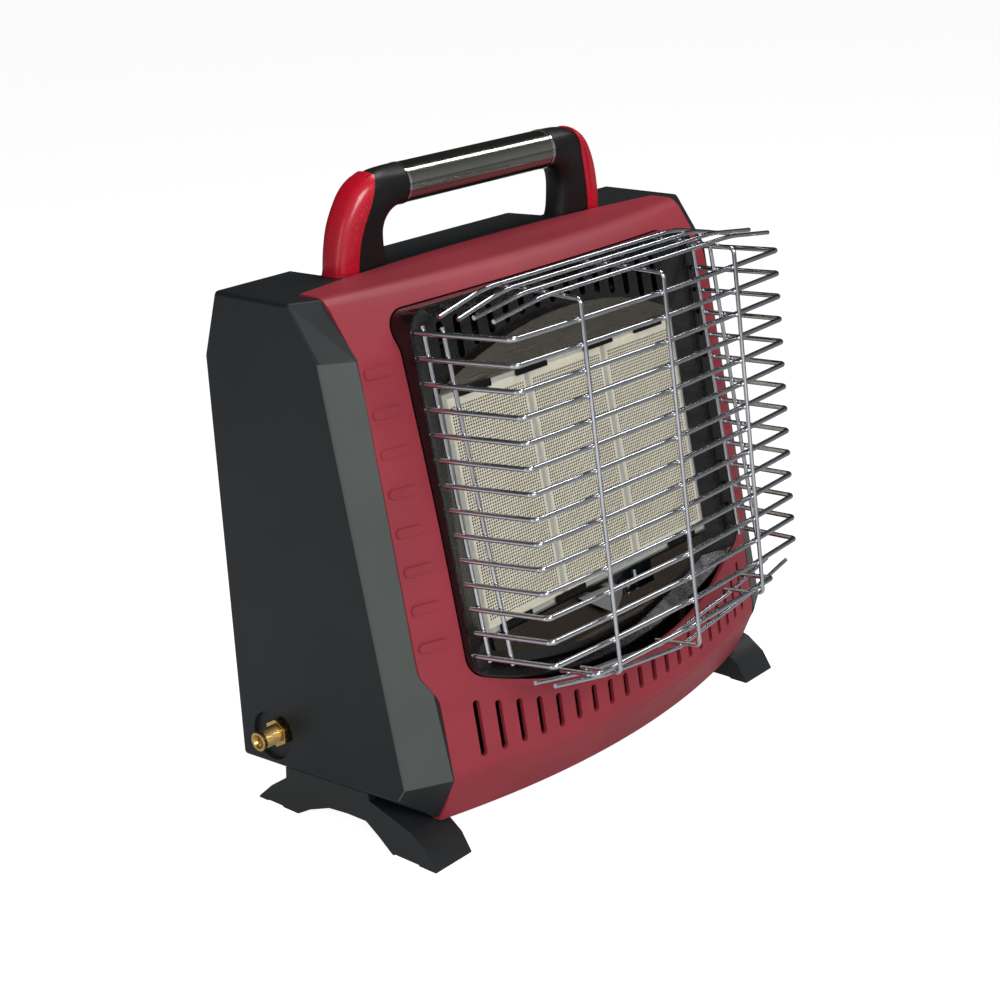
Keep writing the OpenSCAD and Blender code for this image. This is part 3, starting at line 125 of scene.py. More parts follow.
class Finish:
    """A Principled material whose colour, roughness and relief come from procedural nodes."""

    def __init__(self, name, **uniform):
        self.material = bpy.data.materials.new(name)
        self.material.use_nodes = True
        self.tree = self.material.node_tree
        self.shader = self.tree.nodes["Principled BSDF"]
        for key, value in uniform.items():
            self.shader.inputs[key.replace("_", " ")].default_value = value
        self.place = self.node("ShaderNodeTexCoord").outputs["Object"]
        self.relief = None

    def node(self, kind, **settings):
        """A new shader node with the given settings."""
        made = self.tree.nodes.new(kind)
        for key, value in settings.items():
            setattr(made, key, value)
        return made

    def link(self, source, target):
        """Joins an output socket to an input socket."""
        self.tree.links.new(source, target)

    def stretched(self, scale):
        """Object coordinates stretched by scale along each axis."""
        made = self.node("ShaderNodeMapping")
        made.inputs["Scale"].default_value = scale
        self.link(self.place, made.inputs["Vector"])
        return made.outputs["Vector"]

    def noise(self, size, detail=2.0, rough=0.5, place=None):
        """Noise with features of about size metres, around 0.5."""
        made = self.node("ShaderNodeTexNoise")
        made.inputs["Scale"].default_value = 1.0 / size
        made.inputs["Detail"].default_value = detail
        made.inputs["Roughness"].default_value = rough
        self.link(place or self.place, made.inputs["Vector"])
        return made.outputs["Fac"]

    def spread(self, value, low, high, start=0.3, end=0.7):
        """Maps value from start..end to low..high."""
        made = self.node("ShaderNodeMapRange")
        made.inputs["From Min"].default_value = start
        made.inputs["From Max"].default_value = end
        made.inputs["To Min"].default_value = low
        made.inputs["To Max"].default_value = high
        self.link(value, made.inputs["Value"])
        return made.outputs["Result"]

    def tint(self, value, dark, light):
        """Mixes two colours by value."""
        made = self.node("ShaderNodeMix", data_type="RGBA")
        made.inputs["A"].default_value = dark
        made.inputs["B"].default_value = light
        self.link(value, made.inputs["Factor"])
        return made.outputs["Result"]

    def colour(self, source):
        self.link(source, self.shader.inputs["Base Color"])
        return self

    def rough(self, source):
        self.link(source, self.shader.inputs["Roughness"])
        return self

    def bump(self, height, depth, strength=1.0):
        """Adds relief of depth metres where height is 1."""
        made = self.node("ShaderNodeBump")
        made.inputs["Distance"].default_value = depth
        made.inputs["Strength"].default_value = strength
        self.link(height, made.inputs["Height"])
        if self.relief:
            self.link(self.relief, made.inputs["Normal"])
        self.relief = made.outputs["Normal"]
        self.link(self.relief, self.shader.inputs["Normal"])
        return self


def shade(colour, factor):
    """The colour made darker or lighter by factor."""
    return tuple(c * factor for c in colour[:3]) + (1.0,)


def plastic(name, colour, roughness, grain=0.0005, depth=0.00002, **uniform):
    """Moulded plastic with a fine spark-eroded grain and faint flow shading."""
    f = Finish(name, **uniform)
    cloud = f.noise(FLOW_SIZE, 3.0)
    f.colour(f.tint(f.spread(cloud, 0.0, 1.0), shade(colour, 0.9), shade(colour, 1.12)))
    fine = f.noise(grain, 2.0, 0.6)
    f.rough(f.spread(fine, roughness - 0.06, roughness + 0.06))
    f.bump(fine, depth)
    return f.material


def metal(name, colour, roughness, lines=(1.0, 1.0, 1.0), size=0.002, depth=0.000004, dull=0.8):
    """Metal with fine marks of about size metres, drawn out along the axes where lines is small."""
    f = Finish(name, Metallic=1.0)
    marks = f.noise(size, 3.0, 0.6, f.stretched(lines))
    smear = f.noise(SMEAR_SIZE, 3.0)
    f.colour(f.tint(f.spread(smear, 0.0, 1.0), shade(colour, dull), colour))
    f.rough(f.spread(marks, roughness * 0.7, roughness * 1.4))
    f.bump(marks, depth)
    return f.material


def enamel(name, colour, roughness, wave=0.02, depth=0.00022):
    """Glossy stoved enamel that lies in slight waves over pressed sheet."""
    f = Finish(name, Coat_Weight=0.2, Coat_Roughness=0.15)
    waves = f.noise(wave, 2.0, 0.4)
    specks = f.noise(SPECK_SIZE, 2.0)
    f.colour(f.tint(f.spread(waves, 0.0, 1.0), colour, shade(colour, 1.8)))
    f.rough(f.spread(specks, roughness * 0.7, roughness * 1.5))
    f.bump(waves, depth, 0.35)
    f.bump(specks, 0.00001)
    return f.material


def ceramic(name, colour, stain_colour):
    """Porous pressed ceramic with a chalky surface and warmer stains."""
    f = Finish(name, Specular_IOR_Level=0.25)
    stain = f.noise(0.012, 4.0, 0.6)
    pores = f.noise(0.0006, 3.0, 0.7)
    warm = f.tint(f.spread(stain, 0.0, 1.0), colour, stain_colour)
    speck = f.node("ShaderNodeMix", data_type="RGBA", blend_type="MULTIPLY")
    f.link(f.spread(pores, 0.35, 0.0, 0.35, 0.6), speck.inputs["Factor"])
    f.link(warm, speck.inputs["A"])
    speck.inputs["B"].default_value = srgb(170, 160, 130)
    f.colour(speck.outputs["Result"])
    f.rough(f.spread(pores, 0.82, 0.97))
    f.bump(pores, 0.00012)
    return f.material


def fibre(name, colour):
    """Pressed mineral fibre with short strands."""
    f = Finish(name, Specular_IOR_Level=0.2)
    strands = f.noise(0.0016, 4.0, 0.7, f.stretched((1.0, 1.0, 0.25)))
    f.colour(f.tint(f.spread(strands, 0.0, 1.0), shade(colour, 0.82), shade(colour, 1.05)))
    f.rough(f.spread(strands, 0.85, 0.98))
    f.bump(strands, 0.0003)
    return f.material


def pipe_metal(name, colour):
    """Drawn copper or brass pipe with darker heat stains."""
    f = Finish(name, Metallic=1.0)
    stain = f.noise(0.02, 4.0, 0.6)
    fine = f.noise(0.0008, 2.0)
    f.colour(f.tint(f.spread(stain, 0.0, 1.0), shade(colour, 0.6), colour))
    f.rough(f.spread(fine, 0.38, 0.6))
    f.bump(fine, 0.000008)
    return f.material


def make_plastics():
    """Moulded parts: name of the finish, colour, roughness, grain and its depth in metres."""
    return {
        "case": plastic("case_plastic", srgb(28, 32, 35), 0.46, 0.0006, 0.00003, Specular_IOR_Level=0.34),
        # the strips' lighter colour is a painted sheen, the grazing light on them, not a different plastic
        "strip": plastic("strip_painted_sheen", srgb(74, 80, 77), 0.5, 0.0006, 0.00003, Specular_IOR_Level=0.38),
        "bezel": plastic("bezel_plastic", srgb(151, 47, 59), 0.47, 0.0005, 0.00002, Specular_IOR_Level=0.4),
        "cap": plastic("cap_plastic", srgb(194, 14, 40), 0.27, 0.0008, 0.000008, Coat_Weight=0.3,
                       Coat_Roughness=0.15),
        "arm": plastic("arm_plastic", srgb(17, 18, 20), 0.4, 0.0006, 0.00002, Specular_IOR_Level=0.35),
        "foot": plastic("foot_plastic", srgb(31, 34, 36), 0.42, 0.0007, 0.00003),
        "knob": plastic("knob_plastic", srgb(20, 21, 22), 0.4, 0.0006, 0.00002),
        "switch": plastic("switch_plastic", srgb(26, 27, 28), 0.5, 0.0006, 0.00003),
        "button": plastic("button_plastic", srgb(160, 14, 24), 0.3, 0.0007, 0.00001),
        "clip": plastic("clip_scale", srgb(13, 12, 11), 0.55, 0.0008, 0.00003, Specular_IOR_Level=0.2),
        "lead": plastic("lead_silicone", srgb(196, 190, 176), 0.5, 0.0009, 0.00002),
        "core": plastic("core_plastic", srgb(30, 30, 32), 0.6),
    }


def make_metals():
    """Bare metal parts: name of the finish, colour, roughness, marks (axes, size, depth), darkest share."""
    plain = (1.0, 1.0, 1.0)
    rolled = (0.05, 1.0, 1.0)
    return {
        "chrome": metal("guard_chrome", srgb(206, 209, 215), 0.07, plain, 0.006, 0.0000004, 0.86),
        "tube": metal("tube_steel", srgb(164, 164, 157), 0.12, (0.02, 1.0, 1.0), 0.0006, 0.000002, 0.9),
        "ring": metal("ring_chrome", srgb(236, 236, 238), 0.08),
        "reflector": metal("reflector_steel", srgb(132, 128, 114), 0.24, rolled, 0.004, 0.000001, 0.94),
        "bowl": metal("bowl_steel", srgb(92, 82, 74), 0.3, rolled, 0.004, 0.000001, 0.9),
        "sheet": metal("sheet_steel", srgb(168, 168, 166), 0.36, (0.1, 1.0, 1.0), 0.001, 0.000008, 0.75),
        "screw": metal("screw_zinc", srgb(190, 190, 186), 0.3, plain, 0.0008, 0.000006, 0.8),
        "brass": metal("fitting_brass", srgb(232, 198, 130), 0.22, plain, 0.0009, 0.000006, 0.8),
        "cast": metal("cast_alloy", srgb(176, 166, 140), 0.45, plain, 0.0012, 0.00003, 0.8),
        "bracket": metal("bracket_steel", srgb(96, 108, 116), 0.35, (0.1, 1.0, 1.0), 0.0012, 0.00001, 0.7),
        "cowl": metal("cowl_steel", srgb(176, 178, 174), 0.4, plain, 0.004, 0.00001, 0.75),
        "stem": metal("stem_steel", srgb(196, 196, 198), 0.2),
        "copper": pipe_metal("pipe_copper", srgb(112, 74, 54)),
        "pilot_pipe": pipe_metal("pipe_brass", srgb(206, 176, 110)),
    }


def make_finishes():
    """Every finish by its key."""
    return {
        **make_plastics(),
        **make_metals(),
        "panel": enamel("panel_enamel", srgb(34, 36, 38), 0.4, 0.03, 0.0002),
        "enamel": enamel("window_enamel", srgb(8, 8, 9), 0.2),
        "ceramic": ceramic("plaque_ceramic", srgb(241, 238, 222), srgb(234, 228, 208)),
        # darker colour for the walls and floors of the plaque holes: painted shade of the recesses
        "hole_shade": ceramic("hole_painted_shade", srgb(126, 112, 86), srgb(102, 90, 68)),
        "white_ceramic": ceramic("electrode_ceramic", srgb(238, 236, 228), srgb(226, 222, 210)),
        "gasket": fibre("gasket_fibre", srgb(190, 191, 184)),
    }


# ---------- pieces ----------
MERGE = 0.002 * MM                                  # corners of a CAD mesh that are one corner
FLAT = math.radians(0.2)                            # least fold that stays between two of its faces


def add(name, mesh, material, *, body=BODY, nodes=()):
    """Adds mesh as a piece that rides on body and stands for the CAD nodes."""
    piece = bpy.data.objects.new(name, mesh)
    bpy.context.scene.collection.objects.link(piece)
    mesh.materials.clear()
    mesh.materials.append(material)
    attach(piece, body)
    if nodes:
        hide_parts(*nodes)
    return piece


def soften(piece, width, segments=2, angle=28.0):
    """Rounds every edge sharper than angle degrees by width mm and evens out the shading."""
    bevel = piece.modifiers.new("edges", "BEVEL")
    bevel.width = width * MM
    bevel.segments = segments
    bevel.limit_method = "ANGLE"
    bevel.angle_limit = math.radians(angle)
    bevel.miter_outer = "MITER_ARC"
    weighted = piece.modifiers.new("shading", "WEIGHTED_NORMAL")
    weighted.keep_sharp = True
    return piece


def finished_mesh(name, form, smooth=False):
    """Turns the bmesh into a mesh and lets it go."""
    if smooth:
        for face in form.faces:
            face.smooth = True
    mesh = bpy.data.meshes.new(name)
    form.to_mesh(mesh)
    form.free()
    return mesh


def dress(node, material, width, angle):
    """A piece with the CAD node's own form, clean faces and rounded edges."""
    form = bmesh.new()
    form.from_mesh(NODES[node].data)
    bmesh.ops.remove_doubles(form, verts=form.verts, dist=MERGE)
    bmesh.ops.dissolve_degenerate(form, dist=MERGE, edges=form.edges)
    bmesh.ops.dissolve_limit(form, angle_limit=FLAT, verts=form.verts, edges=form.edges, delimit=set())
    mesh = finished_mesh(node + "_form", form, smooth=True)
    piece = add(node + "_form", mesh, material, body=NODES[node]["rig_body"], nodes=[node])
    return soften(piece, width, angle=angle)


STRIP_SLANT, STRIP_RISE = 0.35, 0.3                 # of a strip's normal: least across, most up


def paint_strip_sheen(housing, material):
    """Gives the slanted strips at both sides of the bezel a lighter colour, a painted sheen that stands in
    for the grazing light on them.
    """
    mesh = housing.data
    mesh.materials.append(material)
    for face in mesh.polygons:
        x, y, z = face.normal
        # faces slanting forward and sideways get the painted sheen
        if abs(x) > STRIP_SLANT and y < -STRIP_SLANT and abs(z) < STRIP_RISE:
            face.material_index = 1


def finish_node(node, material):
    """Gives a carried CAD node its material."""
    mesh = NODES[node].data
    mesh.materials.clear()
    mesh.materials.append(material)


def ring_mesh(name, points, caps=False):
    """A skin over rings of points: rings x points of a ring x 3, in metres."""
    rings, count = points.shape[:2]
    here = np.arange(rings * count).reshape(rings, count)
    beside = np.roll(here, -1, axis=1)
    quads = np.stack([here[:-1], beside[:-1], beside[1:], here[1:]], axis=-1).reshape(-1, 4)
    faces = quads.tolist()
    if caps:
        faces += [here[0][::-1].tolist(), here[-1].tolist()]
    mesh = bpy.data.meshes.new(name)
    mesh.from_pydata(points.reshape(-1, 3).tolist(), [], faces)
    mesh.validate()
    mesh.shade_smooth()
    return mesh


# ---------- ceramic plaques ----------
HOLE_PITCH_X, HOLE_PITCH_V = 1.83, 1.77             # mm
HOLE_R, HOLE_DEPTH = 0.62, 2.4
HOLE_FLOOR = 0.7                                    # radius of a hole's floor, as a share of its mouth
HOLE_SIDES = 8
HOLE_TURNS = [math.radians(360.0 * (k + 0.5) / HOLE_SIDES) for k in range(HOLE_SIDES)]
PLAIN_X, PLAIN_V = 2.1, 4.6                         # least plain rim of a plaque
WEAVE_DEPTH = 0.3                                   # relief between the woven blocks
CHAMFER, CHAMFER_DEPTH = 0.6, 1.2
SIDE_GAP = 0.1                                      # between a plaque's sides and its nominal size
BACK_DEPTH = PLAQUE_T + 1.0
COLUMNS = int((PLAQUE_W - 2 * PLAIN_X) / HOLE_PITCH_X)
ROWS = int((PLAQUE_H - 2 * PLAIN_V) / HOLE_PITCH_V)


def woven(i, j):
    """Depth of a plaque's face at grid corner (i, j)."""
    edge = i in (0, COLUMNS) or j in (0, ROWS)
    return 0.0 if edge else WEAVE_DEPTH * (((i + 1) // 2 + (j + 1) // 2) % 2)


class PlaqueSkin:
    """Vertices and faces of a plaque whose middle is middle_x mm across from the heater's."""

    def __init__(self, middle_x):
        self.middle_x = middle_x
        self.vertices = []
        self.faces = []
        self.inside = []                            # first face of each hole's wall and floor

    def vertex(self, x, v, depth):
        self.vertices.append(leaned(self.middle_x + x, PLAQUE_Y + depth, v))
        return len(self.vertices) - 1

    def ring(self, radius, cx, cv, depth):
        """The corners of a round of radius about (cx, cv)."""
        return [
            self.vertex(cx + radius * math.cos(turn), cv + radius * math.sin(turn), depth)
            for turn in HOLE_TURNS
        ]

    def rectangle(self, inset, depth):
        """Four corners of the plaque's outline against the clock, seen from the front."""
        w = PLAQUE_W / 2 - inset
        h = PLAQUE_H / 2 - inset
        return [self.vertex(x, v, depth) for x, v in ((-w, -h), (w, -h), (w, h), (-w, h))]

    def hole(self, square, cx, cv, level):
        """Fills a square of the grid with a tapered hole and the face round it."""
        mouth = self.ring(HOLE_R, cx, cv, level)
        floor = self.ring(HOLE_FLOOR * HOLE_R, cx, cv, level + HOLE_DEPTH)
        for k in range(4):
            near, far = square[k], square[(k + 1) % 4]
            self.faces.append((near, far, mouth[2 * k], mouth[2 * k - 1]))
            self.faces.append((far, mouth[2 * k + 1], mouth[2 * k]))
        self.inside.append(len(self.faces))
        for k in range(HOLE_SIDES):
            n = (k + 1) % HOLE_SIDES
            self.faces.append((mouth[k], mouth[n], floor[n], floor[k]))
        self.faces.append(tuple(floor))

    def surround(self, corner):
        """Plain rim round the grid's corners, chamfer, sides and back."""
        front = self.rectangle(CHAMFER, 0.0)
        edge = self.rectangle(SIDE_GAP, CHAMFER_DEPTH)
        back = self.rectangle(SIDE_GAP, BACK_DEPTH)
        borders = [
            corner[0],
            [row[COLUMNS] for row in corner],
            corner[ROWS][::-1],
            [row[0] for row in corner][::-1],
        ]
        for k, border in enumerate(borders):
            n = (k + 1) % 4
            self.faces.append((front[k], front[n], *reversed(border)))
            self.faces.append((edge[k], edge[n], front[n], front[k]))
            self.faces.append((back[k], back[n], edge[n], edge[k]))
        self.faces.append(tuple(reversed(back)))


def plaque_mesh(name, middle_x):
    """A ceramic plaque woven from blocks of small burner holes, and 1 for each face in a hole, else 0."""
    skin = PlaqueSkin(middle_x)
    x0 = -COLUMNS * HOLE_PITCH_X / 2
    v0 = -ROWS * HOLE_PITCH_V / 2
    corner = [
        [skin.vertex(x0 + i * HOLE_PITCH_X, v0 + j * HOLE_PITCH_V, woven(i, j)) for i in range(COLUMNS + 1)]
        for j in range(ROWS + 1)
    ]
    for j in range(ROWS):
        for i in range(COLUMNS):
            square = [corner[j][i + 1], corner[j + 1][i + 1], corner[j + 1][i], corner[j][i]]
            level = (woven(i, j) + woven(i + 1, j + 1) + woven(i, j + 1) + woven(i + 1, j)) / 4
            skin.hole(square, x0 + (i + 0.5) * HOLE_PITCH_X, v0 + (j + 0.5) * HOLE_PITCH_V, level)
    skin.surround(corner)
    mesh = bpy.data.meshes.new(name)
    mesh.from_pydata(skin.vertices, [], skin.faces)
    of_face = np.zeros(len(skin.faces), dtype=np.int32)
    for first in skin.inside:
        of_face[first:first + HOLE_SIDES + 1] = 1
    return mesh, of_face


def make_plaques(finish):
    """Three plaques side by side, with painted shade on the walls and floors of their holes."""
    for k, side in enumerate(("left", "middle", "right")):
        mesh, of_face = plaque_mesh("plaque_face_" + side, (k - 1) * (PLAQUE_W + JOINT_W))
        add("plaque_face_" + side, mesh, finish["ceramic"], nodes=["plaque_" + side])
        # the hole faces get the painted shade
        mesh.materials.append(finish["hole_shade"])
        mesh.polygons.foreach_set("material_index", of_face)


# ---------- gas inlet ----------
INLET_Y, INLET_Z = -35.0, 55.4                      # mm, case coordinates
INLET_TIP, INLET_REAR = -187.0, -150.0
INLET_R, BORE_R = 5.75, 2.2
MOUTH_R, MOUTH_DEPTH = 4.2, 3.0                     # coned mouth of the bore
COLLAR_W, COLLAR_EDGE = 2.5, 0.35                   # plain collar at the tip and its chamfer
THREAD_R, THREAD_PITCH, THREAD_DEPTH = INLET_R - 0.25, 0.95, 0.5
THREAD_STEP = 0.12                                  # between two rings of the threaded skin
THREAD_LEAD, THREAD_RUN = 0.9, 0.6                  # from the collar to the thread, run-in of the thread
NECK_R, NECK_W = INLET_R - 0.75, 0.4                # plain neck before the hexagon
SHANK_R, SHANK_START = INLET_R - 1.0, 1.0           # slimmer inner end, from inside the hexagon
HEXAGON_X, HEXAGON_FLATS = (-173.5, -167.6), 15.0
HEXAGON_HOLE = INLET_R - 1.2
HEXAGON_STEPS = 48                                  # points round the hexagon, 8 on each flat
TURN_STEPS = 72                                     # points round the stub
MERGE_TURNED = 0.001 * MM                           # corners of the turned skin that are one corner


def faced_outwards(mesh, sharp, merge=0.0):
    """Turns the faces of a closed mesh outwards and keeps its edges over sharp degrees crisp."""
    form = bmesh.new()
    form.from_mesh(mesh)
    if merge:
        bmesh.ops.remove_doubles(form, verts=form.verts, dist=merge)
    bmesh.ops.recalc_face_normals(form, faces=form.faces)
    form.to_mesh(mesh)
    form.free()
    mesh.set_sharp_from_angle(angle=math.radians(sharp))
    return mesh


def lathe_mesh(name, profile, centre):
    """A closed turned piece about the X axis: profile holds (x, radius, thread share), in mm."""
    angles = np.linspace(0.0, 2 * math.pi, TURN_STEPS, endpoint=False)
    rings = []
    for x, radius, share in [*profile, profile[0]]:
        r = np.full(TURN_STEPS, float(radius))
        if share:
            phase = (x / THREAD_PITCH - angles / (2 * math.pi)) % 1.0
            r -= share * THREAD_DEPTH * np.abs(2 * phase - 1)
        y = centre[0] + r * np.cos(angles)
        z = centre[1] + r * np.sin(angles)
        rings.append(np.stack([np.full(TURN_STEPS, x), y, z], axis=1))
    return faced_outwards(ring_mesh(name, np.array(rings)[:, ::-1] * MM), 40, MERGE_TURNED)


def inlet_profile():
    """Bore, coned mouth, plain collar, thread and the stub's inner end."""
    collar_end = INLET_TIP + COLLAR_W
    thread_start = collar_end + THREAD_LEAD
    thread_stop = HEXAGON_X[0] - THREAD_RUN
    shank_start = HEXAGON_X[1] - SHANK_START
    return [
        (INLET_REAR, BORE_R, 0),
        (INLET_TIP + MOUTH_DEPTH, BORE_R, 0),
        (INLET_TIP, MOUTH_R, 0),
        (INLET_TIP, INLET_R - COLLAR_EDGE, 0),
        (INLET_TIP + COLLAR_EDGE, INLET_R, 0),
        (collar_end, INLET_R, 0),
        (thread_start - THREAD_RUN, NECK_R, 0),
        *((x, THREAD_R, 1) for x in np.arange(thread_start, thread_stop, THREAD_STEP)),
        (HEXAGON_X[0] - NECK_W, NECK_R, 0),
        (shank_start, NECK_R, 0),
        (shank_start, SHANK_R, 0),
        (INLET_REAR, SHANK_R, 0),
    ]


def hexagon_mesh(name, centre):
    """The hexagon along X with a round hole and a corner at its top and bottom."""
    form = bmesh.new()

    def point(x, reach, turn):
        place = (x, centre[0] + reach * math.cos(turn), centre[1] + reach * math.sin(turn))
        return form.verts.new(Vector(place) * MM)

    rings = []
    for x in HEXAGON_X:
        outer = []
        inner = []
        for k in range(HEXAGON_STEPS):
            turn = 2 * math.pi * k / HEXAGON_STEPS
            off_flat = (turn + math.pi / 6) % (math.pi / 3) - math.pi / 6
            outer.append(point(x, HEXAGON_FLATS / 2 / math.cos(off_flat), turn))
            inner.append(point(x, HEXAGON_HOLE, turn))
        rings.append((outer, inner))
    (out0, in0), (out1, in1) = rings
    for k in range(HEXAGON_STEPS):
        n = (k + 1) % HEXAGON_STEPS
        form.faces.new((out0[k], out0[n], out1[n], out1[k]))
        form.faces.new((in0[n], in0[k], in1[k], in1[n]))
        form.faces.new((out0[n], out0[k], in0[k], in0[n]))
        form.faces.new((out1[k], out1[n], in1[n], in1[k]))
    bmesh.ops.recalc_face_normals(form, faces=form.faces)
    return finished_mesh(name, form, smooth=True)


def make_inlet(finish):
    """The turned stub and its hexagon."""
    centre = (REAR_Y + INLET_Y, INLET_Z)
    stub = lathe_mesh("inlet_stub", inlet_profile(), centre)
    add("inlet_stub", stub, finish["brass"], nodes=["inlet_fitting"])
    hexagon = hexagon_mesh("inlet_hexagon", centre)
    soften(add("inlet_hexagon", hexagon, finish["brass"]), 0.35, angle=40)


# ---------- welds of the guard ----------
BAR_COUNT, BAR_PITCH, BAR_TOP_Z = 14, 13.6, 296.2
GUARD_REACH, BAR_LEAN, GUARD_BEND_X = 180.0, math.radians(5.5), 119.0
GUARD_BOW, GUARD_BOW_LOW = 3.8, 5.6
GUARD_CURVE = 1.5                                   # power of the bow's curve
UPRIGHTS = (-69.0, 0.0, 69.0)
WELD_LEAD = 1.35                                    # from a crossbar's middle forward to its weld
WELD_SIZE = (1.9, 1.2, 1.5)                         # half sizes of a weld bead


def bar_y(x, z):
    """Depth of the bowed crossbars at a distance x from the middle and a height z, in case coordinates."""
    fall = (BAR_TOP_Z - z) / ((BAR_COUNT - 1) * BAR_PITCH)
    bow = GUARD_BOW + (GUARD_BOW_LOW - GUARD_BOW) * fall
    lean = (z - BAR_TOP_Z) * math.tan(BAR_LEAN)
    return -GUARD_REACH + lean - bow * (1 - (abs(x) / GUARD_BEND_X) ** GUARD_CURVE)


def make_welds(finish):
    """A flattened bead where each crossbar meets a front upright."""
    form = bmesh.new()
    for i in range(BAR_COUNT):
        z = BAR_TOP_Z - i * BAR_PITCH
        for x in UPRIGHTS:
            place = (x, REAR_Y + bar_y(x, z) - WELD_LEAD, z)
            made = bmesh.ops.create_icosphere(form, subdivisions=2, radius=1.0)
            for v in made["verts"]:
                v.co = Vector([place[k] + v.co[k] * WELD_SIZE[k] for k in range(3)]) * MM
    mesh = finished_mesh("guard_welds", form, smooth=True)
    add("guard_welds", mesh, finish["chrome"])


# ---------- lip that closes the seam between the case floor and the bezel ----------
SEAM_LIP = ((-140.0, -106.5, 22.1), (140.0, -101.5, 22.7))    # low and high corner, mm, case coordinates


def make_seam_lip(finish):
    """A thin strip on the case floor that keeps light out of the bezel's slots."""
    form = bmesh.new()
    bmesh.ops.create_cube(form, size=1.0)
    low, high = (Vector(p) for p in SEAM_LIP)
    for v in form.verts:
        v.co = Vector([(low[k] + high[k]) / 2 + v.co[k] * (high[k] - low[k]) for k in range(3)])
        v.co = (v.co + Vector((0.0, REAR_Y, 0.0))) * MM
    mesh = finished_mesh("seam_lip", form)
    soften(add("seam_lip", mesh, finish["case"]), 0.2, segments=1)


# ---------- handle arms and caps ----------
# sections of an arm from its base to the tube: x and z of its outer and inner edge, half depth,
# y of its middle (mm, case coordinates) and squareness (2 is round)
ARM_RINGS = np.array([
    (113.0, 289.3, 73.8, 289.3, 12.6, -39.8, 3.6),
    (113.0, 302.0, 73.8, 302.0, 12.6, -39.8, 3.6),
    (113.0, 309.0, 73.9, 309.0, 9.4, -43.7, 3.6),
    (112.8, 314.0, 74.6, 314.5, 8.6, -44.6, 3.6),
    (112.4, 320.0, 75.6, 321.0, 8.7, -44.7, 3.6),
    (110.0, 332.0, 76.3, 330.0, 9.1, -45.0, 3.5),
    (107.6, 339.0, 75.8, 333.6, 9.5, -45.4, 3.4),
    (104.6, 345.0, 75.0, 336.5, 9.9, -45.9, 3.3),
    (100.0, 353.0, 73.2, 339.2, 10.4, -46.5, 3.1),
    (95.0, 358.5, 71.0, 341.0, 10.9, -47.1, 2.8),
    (88.0, 362.8, 68.5, 342.1, 11.3, -47.7, 2.5),
    (80.0, 365.0, 66.3, 342.4, 11.6, -48.1, 2.2),
    (70.0, 365.6, 64.3, 342.4, 11.7, -48.2, 2.0),
    (62.6, 365.6, 62.6, 342.4, 11.7, -48.2, 2.0),
])
ARM_STEPS, ARM_SMOOTHING = 79, 10                   # rings of the skin, rounds of smoothing along it
ARM_POINTS, LIP_POINTS, FACE_POINTS = 37, 5, 24     # points of half a ring
# seam between arm and cap seen from the front: z and x
CAP_SEAM = (
    (300.0, 100.0), (311.0, 100.0), (319.0, 99.3), (328.0, 97.6), (337.0, 94.8),
    (346.5, 91.0), (355.0, 88.5), (360.0, 86.5), (364.0, 83.5), (367.0, 81.5),
)
SEAM_SEARCH = 201                                   # places tried across a ring to find the seam
CAP_LIP, CAP_STEP = 3.6, 0.7                        # width of the lip, of the slope up to the face
CAP_LOW, CAP_HIGH = 0.5, 1.3                        # height of lip and face over the arm
CAP_EDGE = 0.6                                      # most that the slope passes the arm's outer edge
CAP_LEAST = 0.4                                     # width at which the cap ends


def arm_rows():
    """The sections, filled in finely and smoothed."""
    keys = np.arange(len(ARM_RINGS))
    fine = np.linspace(0, keys[-1], ARM_STEPS)
    rows = np.stack([np.interp(fine, keys, column) for column in ARM_RINGS.T], axis=1)
    for _ in range(ARM_SMOOTHING):
        rows[1:-1] = (rows[:-2] + 2 * rows[1:-1] + rows[2:]) / 4
    return rows


def arm_arc(row, grow, start, stop, count):
    """One side of a ring between two positions across it: the arc's own u and v, and where they lie."""
    outer = np.array([row[0], row[1]])
    inner = np.array([row[2], row[3]])
    middle = (outer + inner) / 2
    reach = np.linalg.norm(outer - inner) / 2
    across = (outer - inner) / (2 * reach)
    power = row[6] / 2
    wide = reach + grow

    def angle(u):
        share = np.clip(u / wide, -1.0, 1.0)
        return math.acos(math.copysign(abs(share) ** power, share))

    turns = np.linspace(angle(start), angle(stop), count)
    u = wide * np.sign(np.cos(turns)) * np.abs(np.cos(turns)) ** (1 / power)
    v = (row[4] + grow) * np.abs(np.sin(turns)) ** (1 / power)
    return u, v, middle, across, row[5]


def arm_points(side, parts):
    """Joins arcs into points in metres, on the heater's left (side -1) or right (1)."""
    points = []
    for u, v, middle, across, depth in parts:
        x = middle[0] + u * across[0]
        z = middle[1] + u * across[1]
        points.append(np.stack([side * x, REAR_Y + depth + v, z], axis=1))
    return np.concatenate(points) * MM


def flipped(arc):
    """The same arc on the other side of the ring, run backwards."""
    u, v, middle, across, depth = arc
    return u[::-1], -v[::-1], middle, across, depth


def seam_on(row):
    """Across-position of the cap's seam on a ring."""
    outer = np.array([row[0], row[1]])
    inner = np.array([row[2], row[3]])
    share = np.linspace(0, 1, SEAM_SEARCH)
    line = inner + share[:, None] * (outer - inner)
    heights, places = zip(*CAP_SEAM)
    past = line[:, 0] - np.interp(line[:, 1], heights, places)
    found = share[np.argmax(past > 0)] if (past > 0).any() else 1.0
    return (2 * found - 1) * np.linalg.norm(outer - inner) / 2


def ring_reach(row):
    """Half the distance between the outer and the inner edge of a ring."""
    return math.hypot(row[0] - row[2], row[1] - row[3]) / 2


def arm_ring(side, row):
    """The full ring of an arm at a section."""
    reach = ring_reach(row)
    half = arm_arc(row, 0.0, -reach, reach, ARM_POINTS)
    u, v, *where = flipped(half)
    return arm_points(side, [half, (u[1:-1], v[1:-1], *where)])


